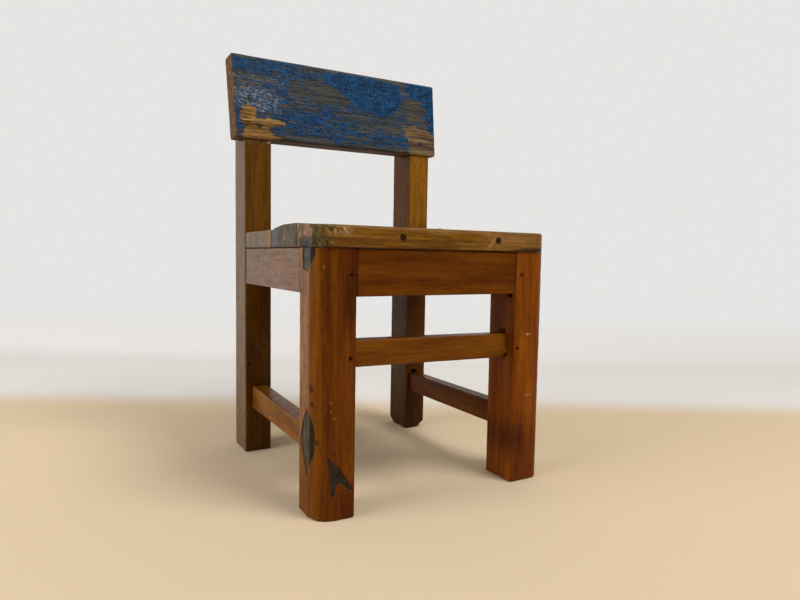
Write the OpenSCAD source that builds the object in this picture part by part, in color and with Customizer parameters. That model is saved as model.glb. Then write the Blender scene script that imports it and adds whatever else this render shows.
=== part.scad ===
// A small child's chair, joined from reclaimed boat timber: square front legs, rear legs that
// run up as posts, rails tenoned and pegged into them, a seat of three planks, and one thick
// board nailed across the front of the posts as a backrest. Old timber: no two pieces are
// quite the same width, and the worn corners, chips and gaps of the real chair are kept.
// Millimetres. Z is up, Y runs to the back, and X runs to the right as the chair is seen from
// the front. Left and right in every name are as seen from the front too, so left is -X.
// The origin is on the floor under the middle of the chair's overall box.

/* [Frame] */
// Width over the outer faces of the two front legs
frame_w = 295.3; // [240:0.1:360]
// Depth from the front legs' front faces to the posts' back faces
frame_d = 304.5; // [250:0.5:370]
// How far the rear left post stands outside the front left leg
rear_left_out = 0.4; // [0:0.1:6]
// How far the rear right post stands inside the front right leg
rear_right_in = 10; // [0:0.1:14]

/* [Legs] */
// Width of the front left leg
left_leg_w = 43.6; // [38:0.1:56]
// Width of the front right leg
right_leg_w = 45.4; // [38:0.1:56]
// Depth of the front legs
leg_d = 48.5; // [42:0.5:60]
// Width of the rear left post
left_post_w = 36; // [31:0.1:44]
// Width of the rear right post
right_post_w = 34.1; // [29:0.1:44]
// Depth of the rear posts
post_d = 51; // [48:0.5:62]
// Rounding of the front left leg's outer front corner
left_round = 21; // [2:0.5:24]
// Rounding of the front right leg's outer front corner
right_round = 11; // [2:0.5:17]
// Softening of every other upright corner
corner_r = 2; // [0.5:0.25:3]
// Height of the worn bevels at the rear right post's foot
foot_wear = 11; // [4:0.5:20]

/* [Seat] */
// Height of the seat's front edge above the floor
seat_h = 300; // [260:1:350]
// Thickness of the seat at its front edge
seat_t = 23; // [18:0.5:30]
// How far the seat stands proud of the legs' front faces
seat_nose = 2; // [0:0.5:8]
// Depth of the front plank, front to back
front_plank_d = 60; // [45:1:75]
// Depth of the middle plank, front to back
middle_plank_d = 84; // [60:1:95]
// How much the middle plank is thicker than the seat's front edge
crown = 3.2; // [2.5:0.1:6]
// Wear along the edges of the front seam
seam_wear = 0.5; // [0:0.1:1]
// Wear along the middle plank's back edge
back_seam_wear = 2.2; // [0:0.1:2.4]
// How much the rear plank is thinner than the seat's front edge
rear_dip = 1.5; // [0:0.1:4]
// Rounding of the seat's front and back edges
seat_round = 4; // [1:0.5:8]
// Gap between two seat planks
plank_gap = 0.3; // [0:0.1:1.5]
// Gap round the posts in the rear plank
notch_gap = 0.8; // [0.2:0.1:3]

/* [Aprons] */
// Height of the front and rear aprons
apron_h = 49.1; // [40:0.1:60]
// Height of the side aprons
side_apron_h = 47.1; // [40:0.1:60]
// Thickness of the aprons
apron_t = 22; // [18:0.5:26]
// How far the aprons lie behind the faces of the legs that they are flush with
apron_recess = 0.6; // [0:0.1:4]

/* [Stretchers] */
// Height of the front stretcher
front_stretcher_h = 28.6; // [24:0.1:36]
// Gap between the front apron and the front stretcher at the left leg
front_stretcher_gap = 45.6; // [20:0.1:70]
// How much lower the front stretcher sits at the right leg
front_stretcher_fall = 3; // [0:0.1:6]
// How far the front stretcher lies behind the legs' front faces
front_stretcher_in = 12.7; // [6:0.1:16]
// Thickness of the front stretcher
front_stretcher_t = 21; // [16:0.5:24]
// Height of the left stretcher at the front leg
left_stretcher_front_h = 26; // [22:0.1:36]
// Height of the left stretcher at the rear post
left_stretcher_rear_h = 30.5; // [22:0.1:36]
// Thickness of the left stretcher
left_stretcher_t = 20.6; // [16:0.1:22]
// How far the left stretcher lies inside the front left leg's outer face
left_stretcher_in = 9.3; // [6:0.1:12]
// Height of the right stretcher
right_stretcher_h = 28.3; // [22:0.1:36]
// Thickness of the right stretcher
right_stretcher_t = 18.3; // [16:0.1:22]
// How far the right stretcher lies inside the rear right post's outer face
right_stretcher_in = 10.5; // [5:0.1:11]
// Height of the side stretchers' undersides above the floor
side_stretcher_z = 60.4; // [40:0.1:75]

/* [Backrest] */
// Height of the board
board_h = 105.6; // [80:0.1:130]
// Thickness of the board
board_t = 33.5; // [26:0.5:36]
// Gap between the seat and the board's lower left corner
back_gap = 121.4; // [90:0.1:180]
// How far the board's lower edge runs out past the left post
board_out_left = 11.6; // [0:0.1:20]
// How far the board's lower edge runs out past the right post
board_out_right = 9; // [6:0.1:20]
// How far the board stands proud of the posts' front faces
board_proud = 4; // [0:0.1:5]
// Rise of the board towards the right, in degrees
board_tilt = 0.6; // [0:0.1:2]
// Slant of the board's sawn ends, in degrees
end_slant = 3; // [0:0.1:6]
// Rounding of the board's long edges
board_round = 3.5; // [1:0.5:8]
// How far the posts stop short of the board's upper edge
post_short = 15; // [5:1:40]

/* [Joints] */
// Thickness of every tenon
tenon_t = 10; // [8:0.5:12]
// Length of the front and rear rails' tenons
tenon_l = 22; // [14:0.5:23]
// Wood between the mortises of the front rails and of the side rails in a front leg
mortise_wall = 8.4; // [6:0.1:10]
// Shoulder above and below each tenon
shoulder = 5; // [3:0.5:8]
// Clearance round a tenon in its mortise
tenon_fit = 0.15; // [0.05:0.05:0.4]
// Space left at the bottom of a mortise
mortise_end = 1; // [0.5:0.5:2]
// Diameter of the pegs through the front legs
peg_d = 4.2; // [3:0.1:6]
// Wood left behind the end of a peg's hole
peg_end_wall = 9; // [6:0.5:12]
// How far the pegs lie below the middle of the rails
peg_drop = 2; // [0:0.1:4]
// How far the apron's left and right pegs stand in from the leg's inner face
apron_peg_in = [6, 8.5]; // [5:0.5:10]
// How far the stretcher's left and right pegs stand in from the leg's inner face
stretcher_peg_in = [6.6, 5]; // [5:0.1:10]
// Clearance round pegs, treenails and nails in their holes
pin_fit = 0.05; // [0.02:0.01:0.1]
// How far a peg's end stands proud of the leg
peg_proud = 0.3; // [0:0.1:1]

/* [Treenails] */
// Diameter of the treenails that join the front plank to the middle one
treenail_d = 7.5; // [6:0.5:9]
// Length of the treenails
treenail_l = 92; // [80:1:110]
// Distance of the two treenails to the left and to the right of the chair's middle
treenail_x = [52.8, 72.7]; // [20:0.5:110]
// Height of the treenails above the seat's underside
treenail_z = 12.5; // [8:0.5:15]

/* [Nails] */
// Diameter of the nails' shanks
nail_d = 2.8; // [2:0.1:4]
// Diameter of the nails' heads
nail_head_d = 6.4; // [5:0.1:9]
// Thickness of the nails' heads
nail_head_t = 1; // [0.6:0.1:2]
// Length of the nails in the seat
seat_nail_l = 52; // [42:1:60]
// Wood left behind the points of the nails in the backrest
back_nail_wall = 7; // [3:0.5:12]
// Distance from the chair's middle to the nails in the rear apron
rear_nail_x = 55; // [20:1:80]
// Distance of the backrest's lower nails above the board's lower edge
low_nail_z = 17.5; // [12:0.5:30]
// Distance of the backrest's upper nails above the board's lower edge
high_nail_z = 50.5; // [40:0.5:60]
// Distance of each upper nail inside its post's outer face
high_nail_in = 7; // [6:0.5:12]
// Distance of each lower nail inside its post's outer face
low_nail_in = 18.5; // [14:0.5:22]

/* [Damage] */
// Depth of the chips and worn hollows in the front left leg
chip_depth = 1; // [0.4:0.1:2.5]
// Height of the long hollow on the front left leg's outer face
hollow_h = 72.6; // [40:0.1:100]
// Width of the long hollow
hollow_w = 32; // [16:1:36]
// Height of the long hollow's middle above the floor
hollow_z = 78.3; // [60:0.1:130]
// Distance of the long hollow's middle behind the leg's front face
hollow_y = 27; // [24:0.5:30]
// Distance of the front chip's left side from the front left leg's inner face
chip_in = 29.3; // [28:0.1:32]
// Height of the front chip's lowest point above the floor
chip_z = 24.8; // [5:0.1:100]
// Height of the wedge-shaped hollow under the seat
wedge_h = 25; // [10:1:40]
// Width of the wedge-shaped hollow at the top
wedge_w = 30; // [15:1:34]
// Distance of the wedge-shaped hollow behind the leg's front face
wedge_y = 8.6; // [6:0.1:12]
// Extra height of the mortises that were cut too long
overcut = 4.5; // [2:0.5:6]
// Diameter of the old nail hole in the rear left post
old_hole_d = 4; // [2:0.5:5]
// Depth of the old nail hole
old_hole_depth = 8; // [3:0.5:15]
// Distance of the old nail hole inside the post's outer face
old_hole_in = 7; // [4:0.5:12]
// Height of the old nail hole
old_hole_z = 122; // [100:1:200]

/* [Hidden] */
$fn = 64;
spare = 1;

// Faces of the frame. Left is -X, right is +X, and the front legs' front faces are at y = 0.
left_x = -frame_w / 2;
right_x = frame_w / 2;
left_leg_in = left_x + left_leg_w;
right_leg_in = right_x - right_leg_w;
left_post_x = left_x - rear_left_out;
right_post_x = right_x - rear_right_in;
left_post_in = left_post_x + left_post_w;
right_post_in = right_post_x - right_post_w;
post_y = frame_d - post_d;
leg_h = seat_h - seat_t;

// The backrest board, which the posts end behind
board_x = left_post_x - board_out_left;
board_y = post_y - board_proud;
board_z = seat_h + back_gap;
board_l = (right_post_x + board_out_right - board_x) / cos(board_tilt);

// The chair's overall box, which the origin is the bottom middle of
box_left = board_x - board_h * (tan(end_slant) * cos(board_tilt) + sin(board_tilt));
box_right = max(right_x, board_x + board_l * cos(board_tilt));
middle_x = (box_left + box_right) / 2;
middle_y = (frame_d - seat_nose) / 2;

// A rail is [its low corner at the first shoulder, length between shoulders, height there,
// height and rise at the far shoulder, thickness, turn about Z, length of its tenons]. It
// runs along its own X.
AT = 0;
LENGTH = 1;
HEIGHT = 2;
FAR_HEIGHT = 3;
RISE = 4;
THICK = 5;
TURN = 6;
TENON = 7;
front_tenon_back_y = apron_recess + (apron_t + tenon_t) / 2;
side_tenon_l = leg_d - front_tenon_back_y - mortise_wall;
side_l = post_y - leg_d;
front_stretcher_z = leg_h - apron_h - front_stretcher_gap - front_stretcher_h;
front_apron_rail = [
    [left_leg_in, apron_recess, leg_h - apron_h],
    right_leg_in - left_leg_in, apron_h, apron_h, 0, apron_t, 0, tenon_l
];
rear_apron_rail = [
    [left_post_in, frame_d - apron_recess - apron_t, leg_h - apron_h],
    right_post_in - left_post_in, apron_h, apron_h, 0, apron_t, 0, tenon_l
];
left_apron_rail = [
    [left_x + apron_recess + apron_t, leg_d, leg_h - side_apron_h],
    side_l, side_apron_h, side_apron_h, 0, apron_t, 90, side_tenon_l
];
right_apron_rail = [
    [right_post_x - apron_recess, leg_d, leg_h - side_apron_h],
    side_l, side_apron_h, side_apron_h, 0, apron_t, 90, side_tenon_l
];
front_stretcher_rail = [
    [left_leg_in, front_stretcher_in, front_stretcher_z],
    right_leg_in - left_leg_in, front_stretcher_h, front_stretcher_h,
    -front_stretcher_fall, front_stretcher_t, 0, tenon_l
];
left_stretcher_rail = [
    [left_x + left_stretcher_in + left_stretcher_t, leg_d, side_stretcher_z],
    side_l, left_stretcher_front_h, left_stretcher_rear_h, 0, left_stretcher_t, 90, side_tenon_l
];
right_stretcher_rail = [
    [right_post_x - right_stretcher_in, leg_d, side_stretcher_z],
    side_l, right_stretcher_h, right_stretcher_h, 0, right_stretcher_t, 90, side_tenon_l
];

// Pegs: [x, height] on the front legs' front faces
peg_l = leg_d - peg_end_wall;
apron_peg_z = leg_h - apron_h / 2 - peg_drop;
apron_pegs_at = [
    [left_leg_in - apron_peg_in[0], apron_peg_z],
    [right_leg_in + apron_peg_in[1], apron_peg_z]
];
stretcher_peg_z = front_stretcher_z + front_stretcher_h / 2 - peg_drop;
stretcher_pegs_at = [
    [left_leg_in - stretcher_peg_in[0], stretcher_peg_z],
    [right_leg_in + stretcher_peg_in[1], stretcher_peg_z - front_stretcher_fall]
];

// The seat planks, front to back, and the height of their upper faces
front_seam_y = front_plank_d - seat_nose;
rear_seam_y = front_seam_y + middle_plank_d;
crown_z = seat_h + crown;
rear_top_z = seat_h - rear_dip;
crown_ease = 8;

// Nails in the seat: [x, y, height of the upper face there]
leg_nail_y = front_tenon_back_y + mortise_wall / 2;
side_nail_xs = [
    left_x + apron_recess + apron_t / 2,
    right_post_x - apron_recess - apron_t / 2
];
front_nails_at = [
    [left_x + left_leg_w / 2, leg_nail_y],
    [0, apron_recess + apron_t / 2],
    [right_x - right_leg_w / 2, leg_nail_y]
];
middle_nails_at = [for (x = side_nail_xs) [x, (front_seam_y + rear_seam_y) / 2]];
rear_nails_at = concat(
    [for (x = side_nail_xs) [x, (rear_seam_y + post_y) / 2]],
    [for (side = [-1, 1]) [side * rear_nail_x, frame_d - apron_recess - apron_t / 2]]
);
front_nail_z = seat_h + crown / 4;

// Nails in the backrest: [x, distance above the board's lower edge]
back_nail_l = frame_d - board_y - back_nail_wall;
back_nails_at = [
    [left_post_x + high_nail_in, high_nail_z],
    [left_post_x + low_nail_in, low_nail_z],
    [right_post_x - high_nail_in, high_nail_z],
    [right_post_x - low_nail_in, low_nail_z]
];

// ---- Shared shapes ----

// Everything is drawn from the middle of the front legs' front faces and moved to the origin.
module placed() {
    translate([-middle_x, -middle_y, 0]) children();
}

// A solid box from its low corner to its high corner
module block(low, high) {
    translate(low) cube(high - low);
}

// A rectangle with four corners rounded: front left, front right, back right, back left
module soft_rect(w, d, radii) {
    corners = [[0, 0, radii[0]], [w, 0, radii[1]], [w, d, radii[2]], [0, d, radii[3]]];
    difference() {
        square([w, d]);
        for (c = corners) {
            inward = [c[0] == 0 ? 1 : -1, c[1] == 0 ? 1 : -1];
            translate([c[0], c[1]] + inward * c[2])
                difference() {
                    translate(-inward * (c[2] + spare) / 2) square(c[2] + spare, center = true);
                    circle(c[2]);
                }
        }
    }
}

// An upright of the frame, with its low front left corner at the given place
module upright(x, y, w, d, h, radii) {
    translate([x, y, 0]) linear_extrude(h) soft_rect(w, d, radii);
}

// Children drawn along a rail's own X, from its first shoulder
module on_rail(rail) {
    translate(rail[AT]) rotate([0, 0, rail[TURN]]) children();
}

// The body of a rail between its shoulders
module rail_body(rail) {
    on_rail(rail)
        translate([0, rail[THICK], 0])
            rotate([90, 0, 0])
                linear_extrude(rail[THICK])
                    polygon([
                        [0, 0],
                        [rail[LENGTH], rail[RISE]],
                        [rail[LENGTH], rail[RISE] + rail[FAR_HEIGHT]],
                        [0, rail[HEIGHT]]
                    ]);
}

// Both tenons of a rail, grown by a clearance when they are cut out of a leg
module rail_tenons(rail, grow = 0, deeper = 0) {
    reach = rail[TENON] + deeper;
    low = min(rail[HEIGHT], rail[FAR_HEIGHT]) / 2 - shoulder;
    half_t = tenon_t / 2 + grow;
    middle = rail[THICK] / 2;
    near_z = rail[HEIGHT] / 2;
    far_z = rail[RISE] + rail[FAR_HEIGHT] / 2;
    on_rail(rail) {
        block(
            [-reach, middle - half_t, near_z - low - grow],
            [0, middle + half_t, near_z + low + grow]
        );
        block(
            [rail[LENGTH], middle - half_t, far_z - low - grow],
            [rail[LENGTH] + reach, middle + half_t, far_z + low + grow]
        );
    }
}

module rail(rail) {
    rail_body(rail);
    rail_tenons(rail);
}

module mortises(rail) {
    rail_tenons(rail, tenon_fit, mortise_end);
}

// Round pins along +Y from the given x and height, such as pegs and their holes
module pins_back(places, y, d, length) {
    for (p = places)
        translate([p[0], y, p[1]]) rotate([-90, 0, 0]) cylinder(d = d, h = length);
}

module peg_holes() {
    pins_back(apron_pegs_at, -spare, peg_d + 2 * pin_fit, peg_l + spare);
    pins_back(stretcher_pegs_at, -spare, peg_d + 2 * pin_fit, peg_l + spare);
}

// A nail pointing down from its head, with its upper face at the origin
module nail(length, grow = 0) {
    translate([0, 0, -nail_head_t - grow]) cylinder(d = nail_head_d + 2 * grow, h = nail_head_t + grow);
    translate([0, 0, -length - grow]) cylinder(d = nail_d + 2 * grow, h = length + grow);
}

module seat_nail_set(grow = 0) {
    for (p = front_nails_at) translate([p[0], p[1], front_nail_z]) nail(seat_nail_l, grow);
    for (p = middle_nails_at) translate([p[0], p[1], crown_z]) nail(seat_nail_l, grow);
    for (p = rear_nails_at) translate([p[0], p[1], rear_top_z]) nail(seat_nail_l, grow);
}

// The room above each nail's head, so that no wood lies over it
module seat_nail_mouths() {
    for (p = front_nails_at)
        translate([p[0], p[1], front_nail_z - spare / 2])
            cylinder(d = nail_head_d + 2 * pin_fit, h = crown + spare);
}

// Children drawn from the board's lower left front corner, along its own lower edge
module on_board() {
    translate([board_x, board_y, board_z]) rotate([0, -board_tilt, 0]) children();
}

// The backrest's nails, and their holes when grown
module back_nail_set(grow = 0) {
    for (p = back_nails_at)
        on_board()
            translate([(p[0] - board_x) / cos(board_tilt), 0, p[1]])
                rotate([90, 0, 0]) nail(back_nail_l, grow);
}

module treenail_set(grow = 0) {
    places = [
        [-treenail_x[0], leg_h + treenail_z],
        [treenail_x[1], leg_h + treenail_z]
    ];
    pins_back(places, -seat_nose - grow, treenail_d + 2 * grow, treenail_l + 2 * grow);
}

// A seat plank from its outline in Y and Z, the full width of the seat. The seat's front
// corners are rounded like the legs under them.
module plank(outline) {
    intersection() {
        translate([left_x, 0, 0])
            rotate([90, 0, 90]) linear_extrude(frame_w) polygon(outline);
        translate([left_x, -seat_nose, 0])
            linear_extrude(seat_h + crown + spare)
                soft_rect(frame_w, frame_d + seat_nose, [left_round, right_round, corner_r, corner_r]);
    }
}

// What is cut from a long outer edge along X to round it: up says top or bottom, back the side
module edge_round(y, z, r, up, back) {
    translate([left_x - spare, y - back * r, z - up * r])
        rotate([90, 0, 90])
            linear_extrude(frame_w + 2 * spare)
                difference() {
                    translate([back * (r + spare) / 2, up * (r + spare) / 2])
                        square(r + spare, center = true);
                    circle(r);
                }
}

// ---- Damage ----

// The outermost layer of the front left leg, as thick as a chip is deep
module left_leg_skin() {
    difference() {
        translate([left_x - spare, -spare, 0]) cube([left_leg_w, leg_d, leg_h + spare]);
        translate([left_x + chip_depth, chip_depth, -spare])
            linear_extrude(leg_h + 3 * spare)
                soft_rect(left_leg_w, leg_d, [left_round - chip_depth, corner_r, corner_r, corner_r]);
    }
}

// A flat shape in Y and Z, cut into the front left leg's outer face and its rounded corner
module side_cut() {
    intersection() {
        left_leg_skin();
        translate([left_x - spare, 0, 0])
            rotate([90, 0, 90]) linear_extrude(left_round) children();
    }
}

// The long hollow on the front left leg's outer face, in half widths and half heights
module long_hollow() {
    side_cut()
        translate([hollow_y, hollow_z])
            scale([hollow_w / 2, hollow_h / 2])
                polygon([
                    [-0.15, 1], [0.48, 0.64], [1, -0.05], [0.53, -0.43], [0.16, -0.75], [-0.14, -1],
                    [-0.45, -0.67], [-0.87, -0.3], [-1, 0.19], [-0.84, 0.56], [-0.5, 0.8]
                ]);
}

// The wedge-shaped hollow under the seat on the same face, in widths and heights
module top_wedge() {
    side_cut()
        translate([wedge_y, leg_h])
            scale([wedge_w, wedge_h])
                polygon([
                    [0, spare], [1, spare], [1, 0], [0.97, -0.86],
                    [0.53, -1], [0.4, -0.78], [0.02, -0.14], [0, 0]
                ]);
}

// The three-cornered chip low on the front left leg's front face
module front_chip() {
    translate([left_leg_in - chip_in, chip_depth, chip_z])
        rotate([90, 0, 0])
            linear_extrude(chip_depth + spare)
                polygon([
                    [3.1, 0], [6.8, 2.9], [9.4, 12.7], [16, 11.5], [23.8, 3.5],
                    [27.2, 4.3], [12.5, 29.1], [2.7, 38.3], [0.2, 44.3], [0, 36.2], [1.8, 20.7]
                ]);
}

// A mortise cut too long at a rail's far end: the slot's low end is given above the rail's own
// lower edge there, and it reaches past the tenon by the overcut
module overcut_slot(rail, low_z) {
    on_rail(rail)
        translate([rail[LENGTH] - spare, (rail[THICK] - tenon_t) / 2, rail[RISE] + low_z])
            cube([rail[TENON] / 2 + spare, tenon_t, overcut + shoulder]);
}

// Bevels worn on the rear right post's foot, at its outer front and inner back corners
module foot_bevels() {
    bevel = (foot_wear + spare) * sqrt(2);
    for (c = [[right_post_x, post_y, -45], [right_post_in, frame_d, 135]])
        translate([c[0], c[1], -spare])
            rotate([0, 45, c[2]])
                cube([bevel, 2 * post_d, bevel], center = true);
}

// ---- Sub-parts ----

module front_left_leg() {
    color("peru")
    placed()
    difference() {
        upright(left_x, 0, left_leg_w, leg_d, leg_h, [left_round, corner_r, corner_r, corner_r]);
        mortises(front_apron_rail);
        mortises(left_apron_rail);
        mortises(front_stretcher_rail);
        mortises(left_stretcher_rail);
        peg_holes();
        seat_nail_set(pin_fit);
        long_hollow();
        top_wedge();
        front_chip();
    }
}

module front_right_leg() {
    color("peru")
    placed()
    difference() {
        upright(right_x - right_leg_w, 0, right_leg_w, leg_d, leg_h,
            [corner_r, right_round, corner_r, corner_r]);
        mortises(front_apron_rail);
        mortises(right_apron_rail);
        mortises(front_stretcher_rail);
        mortises(right_stretcher_rail);
        peg_holes();
        seat_nail_set(pin_fit);
        overcut_slot(front_apron_rail, -overcut);
        overcut_slot(front_stretcher_rail, front_stretcher_h - shoulder);
    }
}

// A rear post: a leg to the seat, and above it an upright cut back to a tongue that stands
// behind the board, with its shoulder fitted under the board's lower edge
module post(x, w) {
    difference() {
        upright(x, post_y, w, post_d, board_z + board_h - post_short,
            [corner_r, corner_r, corner_r, corner_r]);
        on_board() block([0, -spare, 0], [board_l, board_t, board_h]);
        back_nail_set(pin_fit);
    }
}

module rear_left_post() {
    color("sienna")
    placed()
    difference() {
        post(left_post_x, left_post_w);
        mortises(left_apron_rail);
        mortises(rear_apron_rail);
        mortises(left_stretcher_rail);
        pins_back([[left_post_x + old_hole_in, old_hole_z]], post_y - spare,
            old_hole_d, old_hole_depth + spare);
    }
}

module rear_right_post() {
    color("sienna")
    placed()
    difference() {
        post(right_post_x - right_post_w, right_post_w);
        mortises(right_apron_rail);
        mortises(rear_apron_rail);
        mortises(right_stretcher_rail);
        overcut_slot(right_stretcher_rail, right_stretcher_h - shoulder);
        foot_bevels();
    }
}

module front_apron() {
    color("chocolate")
    placed()
    difference() {
        rail(front_apron_rail);
        peg_holes();
        seat_nail_set(pin_fit);
    }
}

module rear_apron() {
    color("chocolate")
    placed()
    difference() {
        rail(rear_apron_rail);
        seat_nail_set(pin_fit);
    }
}

module left_apron() {
    color("rosybrown")
    placed()
    difference() {
        rail(left_apron_rail);
        seat_nail_set(pin_fit);
    }
}

module right_apron() {
    color("rosybrown")
    placed()
    difference() {
        rail(right_apron_rail);
        seat_nail_set(pin_fit);
    }
}

module front_stretcher() {
    color("chocolate")
    placed()
    difference() {
        rail(front_stretcher_rail);
        peg_holes();
    }
}

module left_stretcher() {
    color("chocolate") placed() rail(left_stretcher_rail);
}

module right_stretcher() {
    color("sienna") placed() rail(right_stretcher_rail);
}

module seat_front_plank() {
    color("goldenrod")
    placed()
    difference() {
        plank([
            [-seat_nose, leg_h], [front_seam_y - plank_gap, leg_h],
            [front_seam_y - plank_gap, crown_z - seam_wear], [-seat_nose, seat_h]
        ]);
        edge_round(-seat_nose, seat_h, seat_round, 1, -1);
        treenail_set(pin_fit);
        seat_nail_set(pin_fit);
        seat_nail_mouths();
    }
}

module seat_middle_plank() {
    color("darkgoldenrod")
    placed()
    difference() {
        plank([
            [front_seam_y, leg_h], [rear_seam_y - plank_gap, leg_h],
            [rear_seam_y - plank_gap, crown_z - back_seam_wear],
            [rear_seam_y - crown_ease, crown_z],
            [front_seam_y + crown_ease, crown_z],
            [front_seam_y, crown_z - seam_wear]
        ]);
        treenail_set(pin_fit);
        seat_nail_set(pin_fit);
    }
}

module seat_rear_plank() {
    color("burlywood")
    placed()
    difference() {
        plank([
            [rear_seam_y, leg_h], [frame_d, leg_h], [frame_d, rear_top_z], [rear_seam_y, rear_top_z]
        ]);
        block(
            [left_x - spare, post_y - notch_gap, leg_h - spare],
            [left_post_in + notch_gap, frame_d + spare, seat_h + spare]
        );
        block(
            [right_post_in - notch_gap, post_y - notch_gap, leg_h - spare],
            [right_x + spare, frame_d + spare, seat_h + spare]
        );
        edge_round(frame_d, rear_top_z, seat_round, 1, 1);
        seat_nail_set(pin_fit);
    }
}

// The backrest board: an old plank with slanted sawn ends and rounded long edges
module backrest_board() {
    slant = board_h * tan(end_slant);
    color("royalblue")
    placed()
    difference() {
        on_board()
            intersection() {
                translate([0, board_t, 0])
                    rotate([90, 0, 0])
                        linear_extrude(board_t)
                            polygon([[0, 0], [board_l, 0], [board_l - slant, board_h], [-slant, board_h]]);
                translate([-slant - spare, 0, 0])
                    rotate([90, 0, 90])
                        linear_extrude(board_l + slant + 2 * spare)
                            soft_rect(board_t, board_h,
                                [board_round, board_round, board_round, board_round]);
            }
        back_nail_set(pin_fit);
    }
}

module apron_pegs() {
    color("saddlebrown")
    placed()
    pins_back(apron_pegs_at, -peg_proud, peg_d, peg_l - mortise_end + peg_proud);
}

module stretcher_pegs() {
    color("saddlebrown")
    placed()
    pins_back(stretcher_pegs_at, -peg_proud, peg_d, peg_l - mortise_end + peg_proud);
}

module seat_treenails() {
    color("tan") placed() treenail_set();
}

module seat_nails() {
    color("dimgray") placed() seat_nail_set();
}

module backrest_nails() {
    color("dimgray") placed() back_nail_set();
}

front_left_leg();
front_right_leg();
rear_left_post();
rear_right_post();
front_apron();
rear_apron();
left_apron();
right_apron();
front_stretcher();
left_stretcher();
right_stretcher();
seat_front_plank();
seat_middle_plank();
seat_rear_plank();
backrest_board();
apron_pegs();
stretcher_pegs();
seat_treenails();
seat_nails();
backrest_nails();
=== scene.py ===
"""The looks of a small child's chair made from reclaimed boat timber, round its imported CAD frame.

Every timber is a dense loft with worn edges and a grain relief, trimmed to its CAD solid, so the
joints, holes and chips are the CAD's own. Units are metres. Z is up, Y runs to the back.
"""

import math

import bmesh
import bpy
import numpy as np
from mathutils import Matrix, Vector


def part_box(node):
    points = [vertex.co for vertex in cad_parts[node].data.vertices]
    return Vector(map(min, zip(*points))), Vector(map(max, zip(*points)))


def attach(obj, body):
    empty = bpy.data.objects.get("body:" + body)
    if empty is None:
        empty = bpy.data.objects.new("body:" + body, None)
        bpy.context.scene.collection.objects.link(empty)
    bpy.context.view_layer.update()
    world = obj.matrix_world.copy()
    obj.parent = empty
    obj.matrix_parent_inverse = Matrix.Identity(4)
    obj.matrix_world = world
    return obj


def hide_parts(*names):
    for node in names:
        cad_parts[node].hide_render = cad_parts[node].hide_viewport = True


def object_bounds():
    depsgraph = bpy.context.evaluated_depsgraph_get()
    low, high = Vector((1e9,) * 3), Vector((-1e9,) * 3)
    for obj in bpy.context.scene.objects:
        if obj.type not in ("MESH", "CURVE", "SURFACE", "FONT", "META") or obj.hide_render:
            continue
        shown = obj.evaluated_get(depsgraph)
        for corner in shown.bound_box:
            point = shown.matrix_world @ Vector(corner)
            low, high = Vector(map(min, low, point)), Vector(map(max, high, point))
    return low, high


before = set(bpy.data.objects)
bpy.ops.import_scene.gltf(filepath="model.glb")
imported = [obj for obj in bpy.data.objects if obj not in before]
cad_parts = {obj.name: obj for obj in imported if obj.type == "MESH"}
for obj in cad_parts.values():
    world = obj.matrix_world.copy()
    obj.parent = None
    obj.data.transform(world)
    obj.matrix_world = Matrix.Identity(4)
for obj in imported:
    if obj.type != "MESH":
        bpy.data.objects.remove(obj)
cad_low, cad_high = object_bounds()

MM = 0.001
X, Y, Z = 0, 1, 2
# The size of a noise's feature along an axis that it doesn't change along, in millimetres
THROUGH = 1000
SIDE_AXES = {X: (Y, Z), Y: (Z, X), Z: (X, Y)}


# ---- Repeatable noise on points ----

def lattice(cell, seed):
    """A repeatable value from 0 to 1 for each whole-number point in the last axis of cell."""
    mask = 0xFFFFFFFF
    x, y, z = (cell[..., k] & mask for k in range(3))
    mixed = ((x * 73856093) ^ (y * 19349663) ^ (z * 83492791) ^ (seed * 2654435761)) & mask
    for _ in range(2):
        mixed = ((mixed ^ (mixed >> 16)) * 0x45D9F3B) & mask
    return ((mixed ^ (mixed >> 16)) & 0xFFFFFF) / 0xFFFFFF


def noise(points, cell, seed):
    """Smooth noise from 0 to 1 at each point. cell is the size of one feature along X, Y and Z, in
    millimetres."""
    at = points / (np.array(cell) * MM)
    base = np.floor(at).astype(np.int64)
    part = at - base
    part = part * part * (3 - 2 * part)
    total = np.zeros(points.shape[:-1])
    for corner in np.ndindex(2, 2, 2):
        offset = np.array(corner)
        weight = np.prod(np.where(offset == 1, part, 1 - part), axis=-1)
        total += weight * lattice(base + offset, seed)
    return total


def along_grain(axis, across, along):
    """The cell of a noise that is drawn out along one axis."""
    cell = [across] * 3
    cell[axis] = along
    return cell


def rise(low, high, value):
    """0 up to low, 1 from high on, and smooth between them."""
    part = np.clip((value - low) / (high - low), 0, 1)
    return part * part * (3 - 2 * part)


def fall(low, high, value):
    """1 up to low, 0 from high on, and smooth between them."""
    return 1 - rise(low, high, value)


def patches(points, cell, seed, low, high):
    """Noise that passes from 0 to 1 between two of its values."""
    return rise(low, high, noise(points, cell, seed))


# ---- Lofted timbers ----

ARC_STEP = 0.9 * MM


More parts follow.
